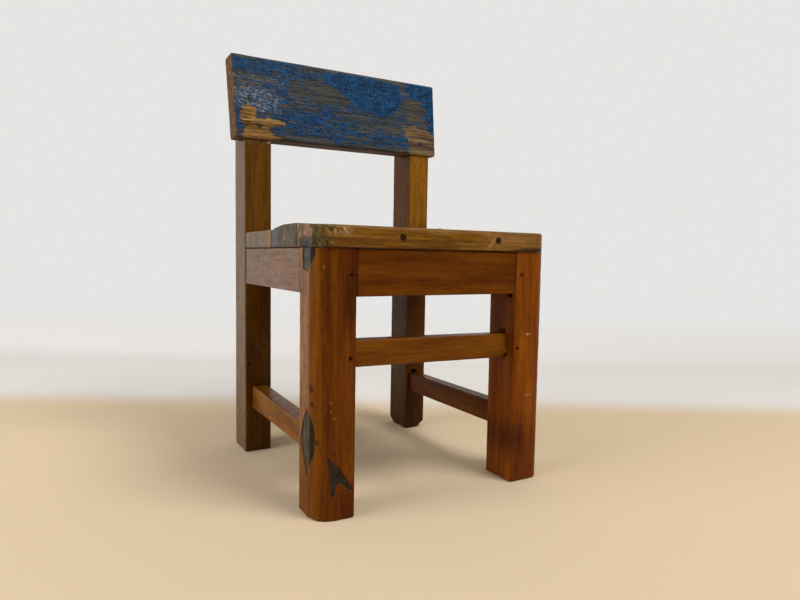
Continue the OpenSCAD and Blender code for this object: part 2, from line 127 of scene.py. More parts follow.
def rounded_outline(corners):
    """Points round a convex outline, anticlockwise. Each corner has its place, its rounding and the
    spacing of the points on the side after it."""
    count = len(corners)
    places = [Vector(corner[:2]) for corner in corners]
    arcs = []
    for k, (_, _, radius, _) in enumerate(corners):
        into = (places[k] - places[k - 1]).normalized()
        out = (places[(k + 1) % count] - places[k]).normalized()
        turn = math.acos(max(-1, min(1, into.dot(out))))
        start = places[k] - into * radius * math.tan(turn / 2)
        centre = start + Vector((-into.y, into.x)) * radius
        pieces = max(3, math.ceil(radius * turn / ARC_STEP))
        arm = start - centre
        arcs.append([centre + Matrix.Rotation(turn * j / pieces, 2) @ arm for j in range(pieces + 1)])
    points = []
    for k, (_, _, _, step) in enumerate(corners):
        first = arcs[k][-1]
        last = arcs[(k + 1) % count][0]
        pieces = max(1, round((last - first).length / step))
        points += arcs[k] + [first.lerp(last, j / pieces) for j in range(1, pieces)]
    return np.array([tuple(p) for p in points])


def square(low, high, rounding, step):
    """The corners of a square section, for rounded_outline."""
    sides = [(low[0], low[1]), (high[0], low[1]), (high[0], high[1]), (low[0], high[1])]
    return [(u, v, rounding, step) for u, v in sides]


def eased_stations(low, high, step, ease, near_round=0, far_round=0):
    """Stations from low to high, and how far the section is drawn in at each to round both ends.
    They stand closer together within near_round and far_round of the ends."""
    near = max(ease, near_round)
    far = max(ease, far_round)
    bends = [np.radians(np.linspace(0, 90, max(5, round(size / MM)))) for size in (near, far)]
    middle = np.linspace(low + near, high - far, max(2, round((high - low - near - far) / step)))
    along = np.concatenate([
        low + near * (1 - np.cos(bends[0])),
        middle[1:-1],
        (high - far * (1 - np.cos(bends[1])))[::-1],
    ])
    to_end = ease - np.clip(np.minimum(along - low, high - along), 0, ease)
    return along, ease - np.sqrt(ease ** 2 - to_end ** 2)


def ring_points(axis, flat, along):
    """Points in space from sections (rings, points, 2) and their places along the axis."""
    u_axis, v_axis = SIDE_AXES[axis]
    points = np.empty(flat.shape[:2] + (3,))
    points[..., u_axis] = flat[..., 0]
    points[..., v_axis] = flat[..., 1]
    points[..., axis] = along[:, None]
    return points


def skin(name, rings, cap_rings=8):
    """A closed mesh over rings of points, its two ends closed by smaller and smaller rings."""
    shrink = np.linspace(1, 0, cap_rings + 1)[1:-1, None, None]
    first = rings[0].mean(0)
    last = rings[-1].mean(0)
    near = first + (rings[0] - first) * shrink[::-1]
    far = last + (rings[-1] - last) * shrink
    layers = np.concatenate([near, rings, far])
    count, size = layers.shape[:2]
    index = np.arange(count * size).reshape(count, size)
    ahead = np.roll(index, -1, axis=1)
    quads = np.stack([index[:-1], ahead[:-1], ahead[1:], index[1:]], axis=-1).reshape(-1, 4)
    points = np.vstack([layers.reshape(-1, 3), first, last])
    near_fan = np.stack([np.full(size, count * size), ahead[0], index[0]], axis=-1)
    far_fan = np.stack([np.full(size, count * size + 1), index[-1], ahead[-1]], axis=-1)
    mesh = bpy.data.meshes.new(name)
    mesh.from_pydata(points.tolist(), [], quads.tolist() + near_fan.tolist() + far_fan.tolist())
    return put(name, mesh)


def put(name, data):
    """A new object in the scene."""
    made = bpy.data.objects.new(name, data)
    bpy.context.collection.objects.link(made)
    return made


def loft(name, axis, outline, stations, mould=None):
    """A timber with the same outline all along the axis. mould may reshape its sections."""
    along, inset = stations
    middle = (outline.max(0) + outline.min(0)) / 2
    half = (outline.max(0) - outline.min(0)) / 2
    flat = middle + (outline - middle) * (1 - inset[:, None, None] / half)
    if mould:
        flat = mould(flat, along)
    return skin(name, ring_points(axis, flat, along))


# ---- Reading and changing meshes ----

SHARP_ANGLE = math.radians(38)
LEAST_VERTICES = 1000


def rows(items, key):
    """Three numbers for each of a mesh's items, one row each."""
    found = np.empty(len(items) * 3, np.float32)
    items.foreach_get(key, found)
    return found.reshape(-1, 3).astype(float)


def positions(piece):
    return rows(piece.data.vertices, "co")


def normals(piece):
    return rows(piece.data.vertex_normals, "vector")


def move(piece, places):
    piece.data.vertices.foreach_set("co", places.astype(np.float32).ravel())
    piece.data.update()


def press_in(piece, depth):
    """Moves each vertex inwards by its own depth."""
    move(piece, positions(piece) - normals(piece) * depth[:, None])


def edge_share(piece):
    """1 on the rounded edges of a squared timber, and 0 on its flat faces."""
    return np.clip((1 - np.abs(normals(piece)).max(1)) / 0.29, 0, 1)


def mark(piece, name, values):
    """Keeps one number per vertex for the materials."""
    layer = piece.data.attributes.new(name, "FLOAT", "POINT")
    layer.data.foreach_set("value", np.asarray(values, np.float32))


class Stain:
    """Colours that lie over a piece's wood: a linear colour and a share for each vertex. own holds
    the vertices' places in millimetres from the lowest corner of the CAD node."""

    def __init__(self, piece, node):
        self.piece = piece
        self.low, self.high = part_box(node)
        self.at = positions(piece)
        self.facing = normals(piece)
        self.own = (self.at - np.array(self.low)) / MM
        self.colour = np.zeros((len(self.at), 3))
        self.share = np.zeros(len(self.at))

    def add(self, colour, share):
        """Lays a colour, given as 0 to 255 numbers, over what is there."""
        share = np.clip(share, 0, 1)
        under = self.share * (1 - share)
        total = np.maximum(share + under, 1e-6)[:, None]
        over = share[:, None] * np.array(srgb(*colour)[:3])
        self.colour = (over + self.colour * under[:, None]) / total
        self.share = share + under

    def spots(self, colour, axes, places, strength=1, soft=0.5):
        """Oval spots. Each of places is a middle and two half sizes along the two axes, as in own."""
        first, second = (self.own[:, axis] for axis in axes)
        for across, up, wide, tall in places:
            distance = np.hypot((first - across) / wide, (second - up) / tall)
            self.add(colour, strength * fall(1 - soft, 1 + soft, distance))

    def faces(self, axis, sign, sharp=0.6):
        """1 where the surface faces along an axis."""
        return rise(sharp, 0.95, sign * self.facing[:, axis])

    def keep(self):
        layer = self.piece.data.attributes.new("stain", "FLOAT_COLOR", "POINT")
        colours = np.hstack([self.colour, np.ones((len(self.share), 1))])
        layer.data.foreach_set("color", colours.astype(np.float32).ravel())
        mark(self.piece, "stain_share", self.share)


def welded(node):
    """A closed copy of a CAD node, to cut with."""
    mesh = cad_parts[node].data.copy()
    work = bmesh.new()
    work.from_mesh(mesh)
    bmesh.ops.remove_doubles(work, verts=work.verts, dist=1e-6)
    work.to_mesh(mesh)
    work.free()
    return put("cutter", mesh)


def trim(piece, node):
    """Keeps only the part of the piece that lies inside a CAD node: its tenons, holes and cuts."""
    cutter = welded(node)
    cut = piece.modifiers.new("trim", "BOOLEAN")
    cut.operation = "INTERSECT"
    cut.solver = "MANIFOLD"
    cut.object = cutter
    trimmed = bpy.data.meshes.new_from_object(
        piece.evaluated_get(bpy.context.evaluated_depsgraph_get())
    )
    piece.modifiers.clear()
    piece.data = trimmed
    bpy.data.objects.remove(cutter)
    if len(trimmed.vertices) < LEAST_VERTICES:
        raise RuntimeError("nothing is left of " + piece.name + " after the trim")


def refine(piece, wanted, longest):
    """Splits the long edges left by the CAD's faces where wanted is true of their middles, so that
    what a piece keeps at its vertices can change across those faces."""
    work = bmesh.new()
    work.from_mesh(piece.data)
    for _ in range(6):
        edges = [edge for edge in work.edges if edge.calc_length() > longest]
        middles = np.array([(edge.verts[0].co + edge.verts[1].co) / 2 for edge in edges]).reshape(-1, 3)
        chosen = [edge for edge, take in zip(edges, wanted(middles)) if take]
        if not chosen:
            break
        bmesh.ops.subdivide_edges(work, edges=chosen, cuts=1)
        bmesh.ops.triangulate(work, faces=[face for face in work.faces if len(face.verts) > 3])
    work.to_mesh(piece.data)
    work.free()


def loose_boxes(node):
    """The lowest and highest corner of each separate solid in a CAD node."""
    cutter = welded(node)
    work = bmesh.new()
    work.from_mesh(cutter.data)
    bpy.data.objects.remove(cutter)
    left = set(work.verts)
    boxes = []
    while left:
        group = [left.pop()]
        for vertex in group:
            for edge in vertex.link_edges:
                other = edge.other_vert(vertex)
                if other in left:
                    left.remove(other)
                    group.append(other)
        places = np.array([tuple(v.co) for v in group])
        boxes.append((places.min(0), places.max(0)))
    work.free()
    return sorted(boxes, key=lambda b: tuple(np.round(b[0], 5)))


def settle(piece, node, material):
    """Puts a finished piece in the place of its CAD node."""
    piece.data.materials.clear()
    piece.data.materials.append(material)
    piece.data.shade_smooth()
    piece.data.set_sharp_from_angle(angle=SHARP_ANGLE)
    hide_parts(node)
    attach(piece, "root")


# ---- Wear of a timber's surface ----

def weather(piece, axis, seed, dips=0.22, grooves=0.10, edges=0.9):
    """Presses the long dips, the raised grain and the knocked edges of old timber into a piece.
    The depths are in millimetres."""
    at = positions(piece)
    edge = edge_share(piece)
    dip = noise(at, along_grain(axis, 14, 90), seed)
    groove = noise(at, along_grain(axis, 2.2, 40), seed + 1)
    knock = noise(at, along_grain(axis, 6, 9), seed + 2) * noise(at, along_grain(axis, 3, 4), seed + 3)
    dent = patches(at, (11, 11, 11), seed + 4, 0.80, 0.95)
    depth = 0.03 + dips * dip + grooves * groove + edges * edge * knock + 0.25 * dent
    press_in(piece, depth * MM)


# ---- Shader graphs ----

# A low reflection seen straight on, which still grows to a sheen at a slant
VARNISH = 0.10


def srgb(red, green, blue):
    """A linear colour from the usual 0 to 255 numbers."""
    parts = [c / 255 for c in (red, green, blue)]
    return tuple(c / 12.92 if c <= 0.04045 else ((c + 0.055) / 1.055) ** 2.4 for c in parts) + (1,)


class Graph:
    """Short ways to add shader nodes to one material or world and link them."""

    def __init__(self, name, kind="materials"):
        self.owner = getattr(bpy.data, kind).new(name)
        self.owner.use_nodes = True
        self.tree = self.owner.node_tree
        self.tree.nodes.clear()
        self.object = self.add("TexCoord").outputs["Object"]

    def add(self, kind, inputs=None, **settings):
        """A node with its settings, and with its inputs set or linked by name or number."""
        node = self.tree.nodes.new("ShaderNode" + kind)
        for key, value in settings.items():
            setattr(node, key, value)
        for key, value in (inputs or {}).items():
            if isinstance(value, bpy.types.NodeSocket):
                self.tree.links.new(value, node.inputs[key])
            else:
                node.inputs[key].default_value = value
        return node

    def stretched(self, axis, along, seed, places=None):
        """Object coordinates drawn out along one axis, and shifted so that pieces differ."""
        scale = [1, 1, 1]
        scale[axis] = along
        shift = (0.37 * seed, 0.61 * seed, 0.83 * seed)
        inputs = {"Vector": places or self.object, "Scale": scale, "Location": shift}
        return self.add("Mapping", inputs).outputs[0]

    def warped(self, vector, scale, amount):
        """Coordinates moved about by a noise, so that straight grain wanders."""
        shift = self.add("TexNoise", {"Vector": vector, "Scale": scale, "Detail": 1})
        centred = self.vector("SUBTRACT", shift.outputs["Color"], {1: (0.5, 0.5, 0.5)})
        return self.vector("ADD", vector, {1: self.vector("SCALE", centred, {"Scale": amount})})

    def vector(self, operation, first, rest):
        return self.add("VectorMath", {0: first, **rest}, operation=operation).outputs[0]

    def noise(self, vector, scale, detail=2, roughness=0.5):
        inputs = {"Vector": vector, "Scale": scale, "Detail": detail, "Roughness": roughness}
        return self.add("TexNoise", inputs).outputs["Fac"]

    def streaks(self, axis, along, seed, scale, detail=2, roughness=0.5):
        """Noise drawn out along one axis."""
        return self.noise(self.stretched(axis, along, seed), scale, detail, roughness)

    def remap(self, value, low, high, to_low=0, to_high=1, smooth=False):
        kind = "SMOOTHSTEP" if smooth else "LINEAR"
        inputs = {"Value": value, "From Min": low, "From Max": high, "To Min": to_low, "To Max": to_high}
        return self.add("MapRange", inputs, interpolation_type=kind).outputs[0]

    def math(self, operation, first, second):
        return self.add("Math", {0: first, 1: second}, operation=operation).outputs[0]

    def times(self, first, second):
        return self.math("MULTIPLY", first, second)

    def plus(self, first, second):
        return self.math("ADD", first, second)

    def minus(self, first, second):
        return self.math("SUBTRACT", first, second)

    def mix(self, share, first, second):
        return self.add("Mix", {0: share, 6: first, 7: second}, data_type="RGBA").outputs[2]

    def ramp(self, value, stops):
        """A colour ramp. stops is a list of (position, colour)."""
        node = self.add("ValToRGB", {"Fac": value})
        elements = node.color_ramp.elements
        while len(elements) < len(stops):
            elements.new(0.5)
        for element, (position, colour) in zip(elements, stops):
            element.position = position
            element.color = colour
        return node.outputs["Color"]

    def attribute(self, name):
        return self.add("Attribute", attribute_name=name).outputs["Fac"]

    def bump(self, height, distance, strength, under=None):
        inputs = {"Height": height, "Distance": distance, "Strength": strength}
        if under:
            inputs["Normal"] = under
        return self.add("Bump", inputs).outputs[0]

    def finish(self, colour, roughness, normal, **fixed):
        """The surface itself. fixed sets sockets that are the same all over."""
        inputs = {"Base Color": colour, "Roughness": roughness, "Normal": normal}
        inputs.update({key.replace("_", " "): value for key, value in fixed.items()})
        surface = self.add("BsdfPrincipled", inputs)
        self.add("OutputMaterial", {"Surface": surface.outputs[0]})
        return self.owner


def wood_colour(g, axis, tones, seed, bands):
    """Streaky timber from dark to light, and the height of its grain."""
    grain = g.warped(g.stretched(axis, 0.07, seed), 9, 0.02)
    broad = g.noise(grain, bands, 2, 0.55)
    middle = g.noise(g.warped(g.stretched(axis, 0.1, seed + 5), 30, 0.006), 120, 3, 0.6)
    fine = g.noise(grain, 260, 4, 0.65)
    share = g.plus(g.times(broad, 0.4), g.times(fine, 0.35))
    share = g.plus(share, g.times(middle, 0.25))
    colour = g.ramp(g.remap(share, 0.38, 0.62), [(0, tones[0]), (0.5, tones[1]), (1, tones[2])])
    pores = g.streaks(axis, 0.09, seed + 3, 1100, 1)
    dark_pores = g.remap(pores, 0.60, 0.70, 0, 0.6)
    colour = g.mix(dark_pores, colour, tones[0])
    height = g.minus(fine, g.times(dark_pores, 0.6))
    return colour, height


def rubbed_edges(g, colour, worn):
    """Edges that hands and feet have rubbed back to a lighter colour."""
    share = g.remap(g.noise(g.object, 90, 3), 0.42, 0.62, 0, 0.55)
    return g.mix(g.times(g.attribute("edge"), share), colour, worn)


def stained(g, colour, height):
    """The stains that a piece keeps, with ragged edges and the grain still showing."""
    share = g.attribute("stain_share")
    ragged = g.times(g.minus(g.noise(g.object, 620, 4), 0.5), 0.9)
    laid = g.remap(g.plus(share, ragged), 0.05, 0.95)
    laid = g.times(laid, g.remap(share, 0, 0.1))
    stain = g.add("Attribute", attribute_name="stain").outputs["Color"]
    shaded = g.mix(g.remap(height, 0.25, 0.6, 0.5, 0), stain, srgb(0, 0, 0))
    return g.mix(laid, colour, shaded)


def grimy(g, colour):
    """Dirt in the corners where timbers meet."""
    share = g.times(g.attribute("grime"),
                   g.remap(g.noise(g.object, 260, 2), 0.3, 0.7, 0.5, 1))
    return g.mix(share, colour, srgb(24, 12, 4))


def old_paint(g, colour):
    """Hollows that the plane has missed, with their old dark paint, paler on their outer part where a
    sheen is painted.
    """
    wander = g.times(g.minus(g.noise(g.object, 480, 3), 0.5), 0.5)
    inside = g.remap(g.plus(g.attribute("patch"), wander), -0.04, 0.10)
    mottle = g.streaks(Z, 0.4, 2, 260, 4, 0.6)
    dark = g.ramp(mottle, [(0.35, srgb(18, 10, 4)), (0.65, srgb(44, 28, 10))])
    # Painted sheen: a paler, greyer copy of the old paint for its outer part
    pale = g.ramp(mottle, [(0.35, srgb(36, 33, 25)), (0.65, srgb(68, 65, 54))])
    return g.mix(inside, colour, g.mix(g.attribute("patch_sheen"), dark, pale))


def varnished_wood(name, axis, tones, seed, patched=False, bands=38):
    """Old varnished timber: grain, rubbed edges, stains, grime and, if patched, old paint. bands
    is the scale of its broad figure."""
    g = Graph(name)
    colour, height = wood_colour(g, axis, tones, seed, bands)
    cloud = g.remap(g.streaks(axis, 0.4, seed + 7, 34, 3, 0.6), 0.52, 0.74, 0, 0.5)
    colour = rubbed_edges(g, g.mix(cloud, colour, tones[0]), tones[2])
    colour = grimy(g, stained(g, colour, height))
    if patched:
        colour = old_paint(g, colour)
    haze = g.noise(g.object, 120, 3)
    roughness = g.remap(haze, 0.3, 0.7, 0.28, 0.44)
    normal = g.bump(height, 0.25 * MM, 0.5)
    normal = g.bump(haze, 0.5 * MM, 0.25, normal)
    return g.finish(colour, roughness, normal, Specular_IOR_Level=VARNISH)


# ---- The object's timbers ----

CORNER = 2 * MM
LEFT_ROUND = 21 * MM
RIGHT_ROUND = 11 * MM
# The corners of a worn round, as shares of its size across and back, and the rounding of each
FACETS = [(0, 1.02, 0.8 * MM), (0.22, 0.39, 3 * MM), (0.58, 0.12, 3 * MM), (1, 0, 3 * MM)]
UNDER_SEAT = 3 * MM
FOOT_EASE = 1.5 * MM
RIGHT_POST_EASE = 2.5 * MM
RAIL_ROUND = 1.6 * MM
RAIL_EASE = 0.5 * MM
BODY_STEP = 1.5 * MM
SIDE_STEP = 1.35 * MM


def prepare(piece, node, paint, grime=None):
    """Keeps on a piece what the timber materials read. paint adds its stains."""
    mark(piece, "edge", edge_share(piece))
    mark(piece, "grime", np.zeros(len(piece.data.vertices)) if grime is None else grime)
    stain = Stain(piece, node)
    if paint:
        paint(stain)
    stain.keep()


def leg_outline(low, high, left, right):
    """A leg's section. A front corner that is well rounded is worn to a few long facets."""
    near = [(low.x + x * left, low.y + y * left, r) for x, y, r in FACETS]
    far = [(high.x - x * right, low.y + y * right, r) for x, y, r in reversed(FACETS)]
    corners = near if left else [(low.x, low.y, CORNER)]
    corners += far if right else [(high.x, low.y, CORNER)]
    corners += [(high.x, high.y, CORNER), (low.x, high.y, CORNER)]
    return rounded_outline([corner + (SIDE_STEP,) for corner in corners])


def upright(node, seed, colour, paint, left=0, right=0, patch=None, ease=FOOT_EASE, under=0):
    """A leg or post, standing on the floor. One that runs on by under before the trim has a
    square top, for the seat to lie on."""
    low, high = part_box(node)
    stations = eased_stations(low.z, high.z + under, BODY_STEP, ease)
    piece = loft(node + "_timber", Z, leg_outline(low, high, left, right), stations)
    weather(piece, Z, seed)
    trim(piece, node)
    if patch:
        refine(piece, lambda middles: patch(middles, np.full(middles.shape, -1)) > NEAR_PATCH,
               PATCH_MESH)
    prepare(piece, node, paint)
    if patch:
        mark(piece, "patch", patch(positions(piece), normals(piece)))
        mark(piece, "patch_sheen", front_left_sheen(positions(piece)))
    wood = varnished_wood(node + "_wood", Z, tones(colour), seed, patched=patch is not None)
    settle(piece, node, wood)


def shoulder_sections(node, axis, near, far):
    """The section's corners (u low, v low, u high, v high) at a rail's two shoulders."""
    places = positions(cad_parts[node])
    u_axis, v_axis = SIDE_AXES[axis]
    found = []
    for plane in (near, far):
        at = places[np.abs(places[:, axis] - plane) < 0.05 * MM]
        found.append([at[:, u_axis].min(), at[:, v_axis].min(), at[:, u_axis].max(), at[:, v_axis].max()])
    return np.array(found)


def rail(node, axis, near, far, seed, colour, paint=None):
    """An apron or stretcher from shoulder to shoulder, with the CAD's tenons."""
    low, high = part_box(node)
    ends = shoulder_sections(node, axis, near, far)
    first = ends[0]
    outline = rounded_outline(square(first[:2], first[2:], RAIL_ROUND, SIDE_STEP))

    def taper(flat, along):
        share = np.clip((along - near) / (far - near), 0, 1)[:, None]
        here = ends[0] + (ends[1] - ends[0]) * share
        size = (here[:, 2:] - here[:, :2]) / (first[2:] - first[:2])
        return here[:, None, :2] + (flat - first[:2]) * size[:, None, :]

    stations = eased_stations(low[axis], high[axis], BODY_STEP, RAIL_EASE)
    piece = loft(node + "_timber", axis, outline, stations, taper)
    weather(piece, axis, seed, edges=0.7)
    trim(piece, node)
    prepare(piece, node, paint, shoulder_grime(piece, axis, near, far))
    settle(piece, node, varnished_wood(node + "_wood", axis, tones(colour), seed))


def shoulder_grime(piece, axis, near, far):
    """Dirt that has gathered beside a rail's shoulders."""
    at = positions(piece)
    distance = np.minimum(at[:, axis] - near, far - at[:, axis])
    return 0.75 * np.exp(-np.clip(distance, 0, 1) / (1.6 * MM))


# The middle colour of each timber
LEG_LEFT = (88, 41, 0)
LEG_RIGHT = (112, 54, 0)
POST_LEFT = (88, 50, 6)
POST_RIGHT = (104, 58, 6)
APRON = (92, 46, 0)
STRETCHER = (106, 57, 2)
SIDE_APRON = (104, 66, 36)
LEFT_STRETCHER = (112, 66, 12)
RIGHT_STRETCHER = (74, 35, 2)
SEAT = (104, 66, 16)


def tones(middle):
    """A dark reddish, a middle and a light golden colour of one timber."""
    colour = np.array(srgb(*middle)[:3])
    shares = [(0.58, 0.46, 0.4), (1, 1, 1), (1.5, 1.8, 1.5)]
    return [tuple(np.clip(colour * share, 0, 1)) + (1,) for share in shares]


# The mesh round the old paint: from how far outside it, as front_left_patches gives it, and how fine
NEAR_PATCH = -0.3
PATCH_MESH = 3 * MM
# Outlines of the old dark paint on the front left leg: (behind its front face, height) on its
# outer face, and (from its outer face, height) on its front face
LOZENGE = [(24.6, 114.6), (34.7, 101.5), (43, 76.5), (35.5, 62.7), (29.6, 51), (24.8, 42), (19.8, 54),
           (13.1, 67.4), (11, 85.2), (13.6, 98.6), (19, 107.3)]
WEDGE = [(11.5, 280), (38.6, 280), (37.7, 255.5), (24.5, 252), (20.6, 257.5), (12.5, 270)]
CHIP = [(17.4, 24.8), (21.1, 27.7), (23.7, 37.5), (30.3, 36.3), (38.1, 28.3), (41.5, 29.1), (26.8, 53.9),
        (17, 63.1), (14.5, 69.1), (14.3, 61), (16.1, 45.5)]


# Small marks on timbers: the middle and the two half sizes, as Stain.spots takes them
LEFT_LEG_SPECKS = [(16.2, 122.2, 0.8, 1.5), (16.9, 113.3, 0.7, 1.5), (19.9, 106.3, 1.1, 1.5),
                   (9.5, 257.4, 0.7, 1.5)]
LEFT_LEG_NICKS = [(1.6, 134.7, 1.1, 4.5), (2.2, 118.9, 0.9, 3), (4.5, 81.3, 1.5, 2.6),
                  (2.6, 72.9, 1.1, 1.4), (20.3, 69.9, 0.9, 1.6), (8, 196, 0.7, 3)]
APRON_NICKS = [(196, 38.1, 0.8, 5), (171, 37.1, 4, 2), (173, 32.1, 2.4, 0.9), (222, 22.1, 1.6, 1.2),
               (234, 13.1, 0.9, 6)]


def front_left_patches(at, facing):
    """The old dark paint: how far inside it, up to 1 for three millimetres."""
    own = (at - np.array(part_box("front_left_leg")[0])) / MM
    side = np.maximum(depth_inside(own[:, [1, 2]], LOZENGE), depth_inside(own[:, [1, 2]], WEDGE))
    side = np.where((own[:, 0] < 20) & (facing[:, 0] < -0.05), side, -9)
    front = np.where(facing[:, 1] < -0.6, depth_inside(own[:, [0, 2]], CHIP), -9)
    return np.clip(np.maximum(side, front) / 3, -1, 1)


def front_left_sheen(at):
    """How much painted sheen pales the old paint: most on the outer face, where it stays flat."""
    own = (at - np.array(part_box("front_left_leg")[0])) / MM
    return np.maximum(rise(18, 23, own[:, 1]), 0.45 * rise(10, 14, own[:, 0]))


def front_left_stains(stain):
    """A pitted outer face paled by painted sheen, a painted highlight along the worn corner, and a front
    face with a dark streak, a golden one and nicks.
    """
    across, back, up = stain.own.T
    side = rise(18, 22, back) * rise(0.5, 0.9, -stain.facing[:, 0])
    blotch = noise(stain.at, along_grain(Z, 7, 40), 301)
    # Painted sheen and light: the outer face paler and pinker, more so higher up
    stain.add((166, 120, 78), side * (0.3 + 0.5 * blotch) * rise(30, 120, up))
    stain.add((126, 76, 6), 0.5 * side * fall(30, 110, up))
    stain.add((96, 50, 18), 0.75 * side * patches(stain.at, (2.2, 2.2, 4), 305, 0.68, 0.78))
    # Painted highlight: a golden band on the worn facets of the front corner
    band = fall(6, 11, across) * fall(19, 22, back)
    stain.add((132, 78, 2), 0.55 * band * (0.6 + 0.4 * blotch))
    front = stain.faces(Y, -1, 0.5)
    stain.add((78, 24, 0), 0.4 * front * rise(34, 42, across) * rise(225, 250, up))
    dark = front * fall(2.5, 7, np.abs(across - 11)) * noise(stain.at, along_grain(Z, 9, 90), 302)
    stain.add((56, 24, 0), 0.65 * dark)
    gold = front * rise(21, 33, across) * rise(10, 50, up)
    stain.add((120, 62, 0), 0.7 * gold * fall(170, 225, up))
    stain.spots((150, 112, 62), (X, Z), LEFT_LEG_SPECKS, 0.8)
    stain.spots((44, 16, 2), (X, Z), LEFT_LEG_NICKS, 0.8)


def front_right_stains(stain):
    """A front face golden above and red below, a darker band low down, chips, and an outer face paled by
    painted sheen.
    """
    across, _, up = stain.own.T
    front = stain.faces(Y, -1)
    stain.add((140, 78, 6), 0.30 * front * rise(110, 250, up))
    stain.add((84, 30, 0), 0.45 * front * fall(20, 110, up))
    stain.spots((116, 20, 6), (X, Z), [(10, 143.9, 1.7, 1.5)], 1, 0.25)
    stain.spots((196, 160, 120), (X, Z), [(21.1, 178.8, 3.4, 1)], 0.9)
    stain.spots((190, 140, 90), (X, Z), [(23.3, 105.2, 6, 0.8)], 0.8)
    stain.spots((40, 16, 4), (X, Z), [(9.4, 17, 0.9, 6)], 0.9)
    # A darker band low on the leg, strongest on its inner side
    dark_band = np.exp(-((up - 54) / 24) ** 2)
    stain.add((46, 10, 0), 0.6 * dark_band * np.maximum(fall(10, 30, across), 0.3))
    # Painted sheen: the outer face paler higher up
    stain.add((150, 92, 44), 0.4 * stain.faces(X, 1) * rise(60, 120, up))


def rear_left_stains(stain):
    """The front darker below the seat as painted shade, an outer face greyed by painted sheen, and flecks
    of paint and dirt under the board.
    """
    up = stain.own[:, 2]
    front = stain.faces(Y, -1)
    # Painted shade: the front darker below the seat, which shades it
    stain.add((26, 9, 0), 0.35 * front * fall(180, 270, up))
    # Painted sheen: the outer face greyer and paler
    stain.add((112, 98, 78), 0.55 * stain.faces(X, -1))
    top = front * rise(414, 419, up)
    stain.add((168, 150, 142), 0.8 * top * patches(stain.at, (3, 3, 2), 311, 0.55, 0.7))
    stain.add((20, 12, 8), 0.8 * top * (1 - patches(stain.at, (4, 4, 2), 312, 0.3, 0.45)))
    stain.add((96, 70, 14), 0.35 * front * rise(300, 330, up))


def rear_right_stains(stain):
    """Painted shade below the seat, darker at the foot, an inner face dulled by painted sheen, and golden
    above the seat.
    """
    up = stain.own[:, 2]
    front, inner = stain.faces(Y, -1), stain.faces(X, -1)
    # Painted shade: the front darker below the seat
    stain.add((30, 8, 0), 0.5 * front * fall(230, 280, up))
    stain.add((26, 6, 0), 0.4 * front * fall(30, 90, up))
    # Painted sheen: the inner face duller and greyer
    stain.add((62, 48, 6), 0.4 * inner)
    # Painted shade: the inner face darker below the seat
    stain.add((24, 14, 0), 0.5 * inner * fall(230, 280, up))
    stain.add((150, 102, 22), 0.7 * front * rise(300, 330, up))


def left_apron_stains(stain):
    """An outer face paled by painted sheen, with a few nicks."""
    outside = stain.faces(X, -1)
    # Painted sheen: the outer face paler and greyer, in blotches
    stain.add((128, 98, 80), outside * (0.45 + 0.4 * noise(stain.at, (20, 11, 60), 321)))
    stain.add((108, 94, 80), 0.45 * outside * patches(stain.at, (20, 26, 30), 322, 0.4, 0.75))
    stain.spots((44, 28, 20), (Y, Z), APRON_NICKS, 0.85)


def stretcher_stains(stain):
    """Streaks along the front stretcher, and a pale and a dark mark at its right end."""
    stain.add((120, 74, 18), 0.35 * noise(stain.at, along_grain(X, 6, 60), 331) * stain.faces(Y, -1))
    stain.spots((150, 124, 96), (X, Z), [(225.8, 9.3, 1.6, 2.6)], 0.8)
    stain.spots((24, 12, 6), (X, Z), [(226.3, 2.8, 3, 1.6)], 0.8)


def make_frame():
    leg_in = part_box("front_left_leg")[1].x
    far_leg_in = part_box("front_right_leg")[0].x
    post_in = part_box("rear_left_post")[1].x
    far_post_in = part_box("rear_right_post")[0].x
    leg_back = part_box("front_left_leg")[1].y
    post_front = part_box("rear_left_post")[0].y
    upright("front_left_leg", 11, LEG_LEFT, front_left_stains,
            left=LEFT_ROUND, patch=front_left_patches, under=UNDER_SEAT)
    upright("front_right_leg", 21, LEG_RIGHT, front_right_stains, right=RIGHT_ROUND,
            under=UNDER_SEAT)
    upright("rear_left_post", 31, POST_LEFT, rear_left_stains)
    upright("rear_right_post", 41, POST_RIGHT, rear_right_stains, ease=RIGHT_POST_EASE)
    rail("front_apron", X, leg_in, far_leg_in, 51, APRON)
    rail("front_stretcher", X, leg_in, far_leg_in, 61, STRETCHER, stretcher_stains)
    rail("rear_apron", X, post_in, far_post_in, 71, APRON)
    rail("left_apron", Y, leg_back, post_front, 81, SIDE_APRON, left_apron_stains)
    rail("right_apron", Y, leg_back, post_front, 91, SIDE_APRON)
    rail("left_stretcher", Y, leg_back, post_front, 101, LEFT_STRETCHER)
    rail("right_stretcher", Y, leg_back, post_front, 111, RIGHT_STRETCHER)


# ---- The seat ----

FRONT_RISE = 2.7 * MM
FRONT_SEAM_WEAR = 0.5 * MM
REAR_SEAM_WEAR = 2.2 * MM
CROWN_EASE = 8 * MM
SEAT_ROUND = 4 * MM
SEAT_END_EASE = 1.8 * MM
# The rounding of a plank's edge where it shows little, and where it meets another timber
SLIGHT = 1 * MM
LEAST = 0.5 * MM
SEAT_RIGHT_ROUND = 15 * MM
BACK_SLOPE = 44 * MM
BACK_WEAR = 3.2 * MM
SEAT_STEP = 1.4 * MM
TOP_STEP = 1.6 * MM
UNDER_STEP = 2.6 * MM


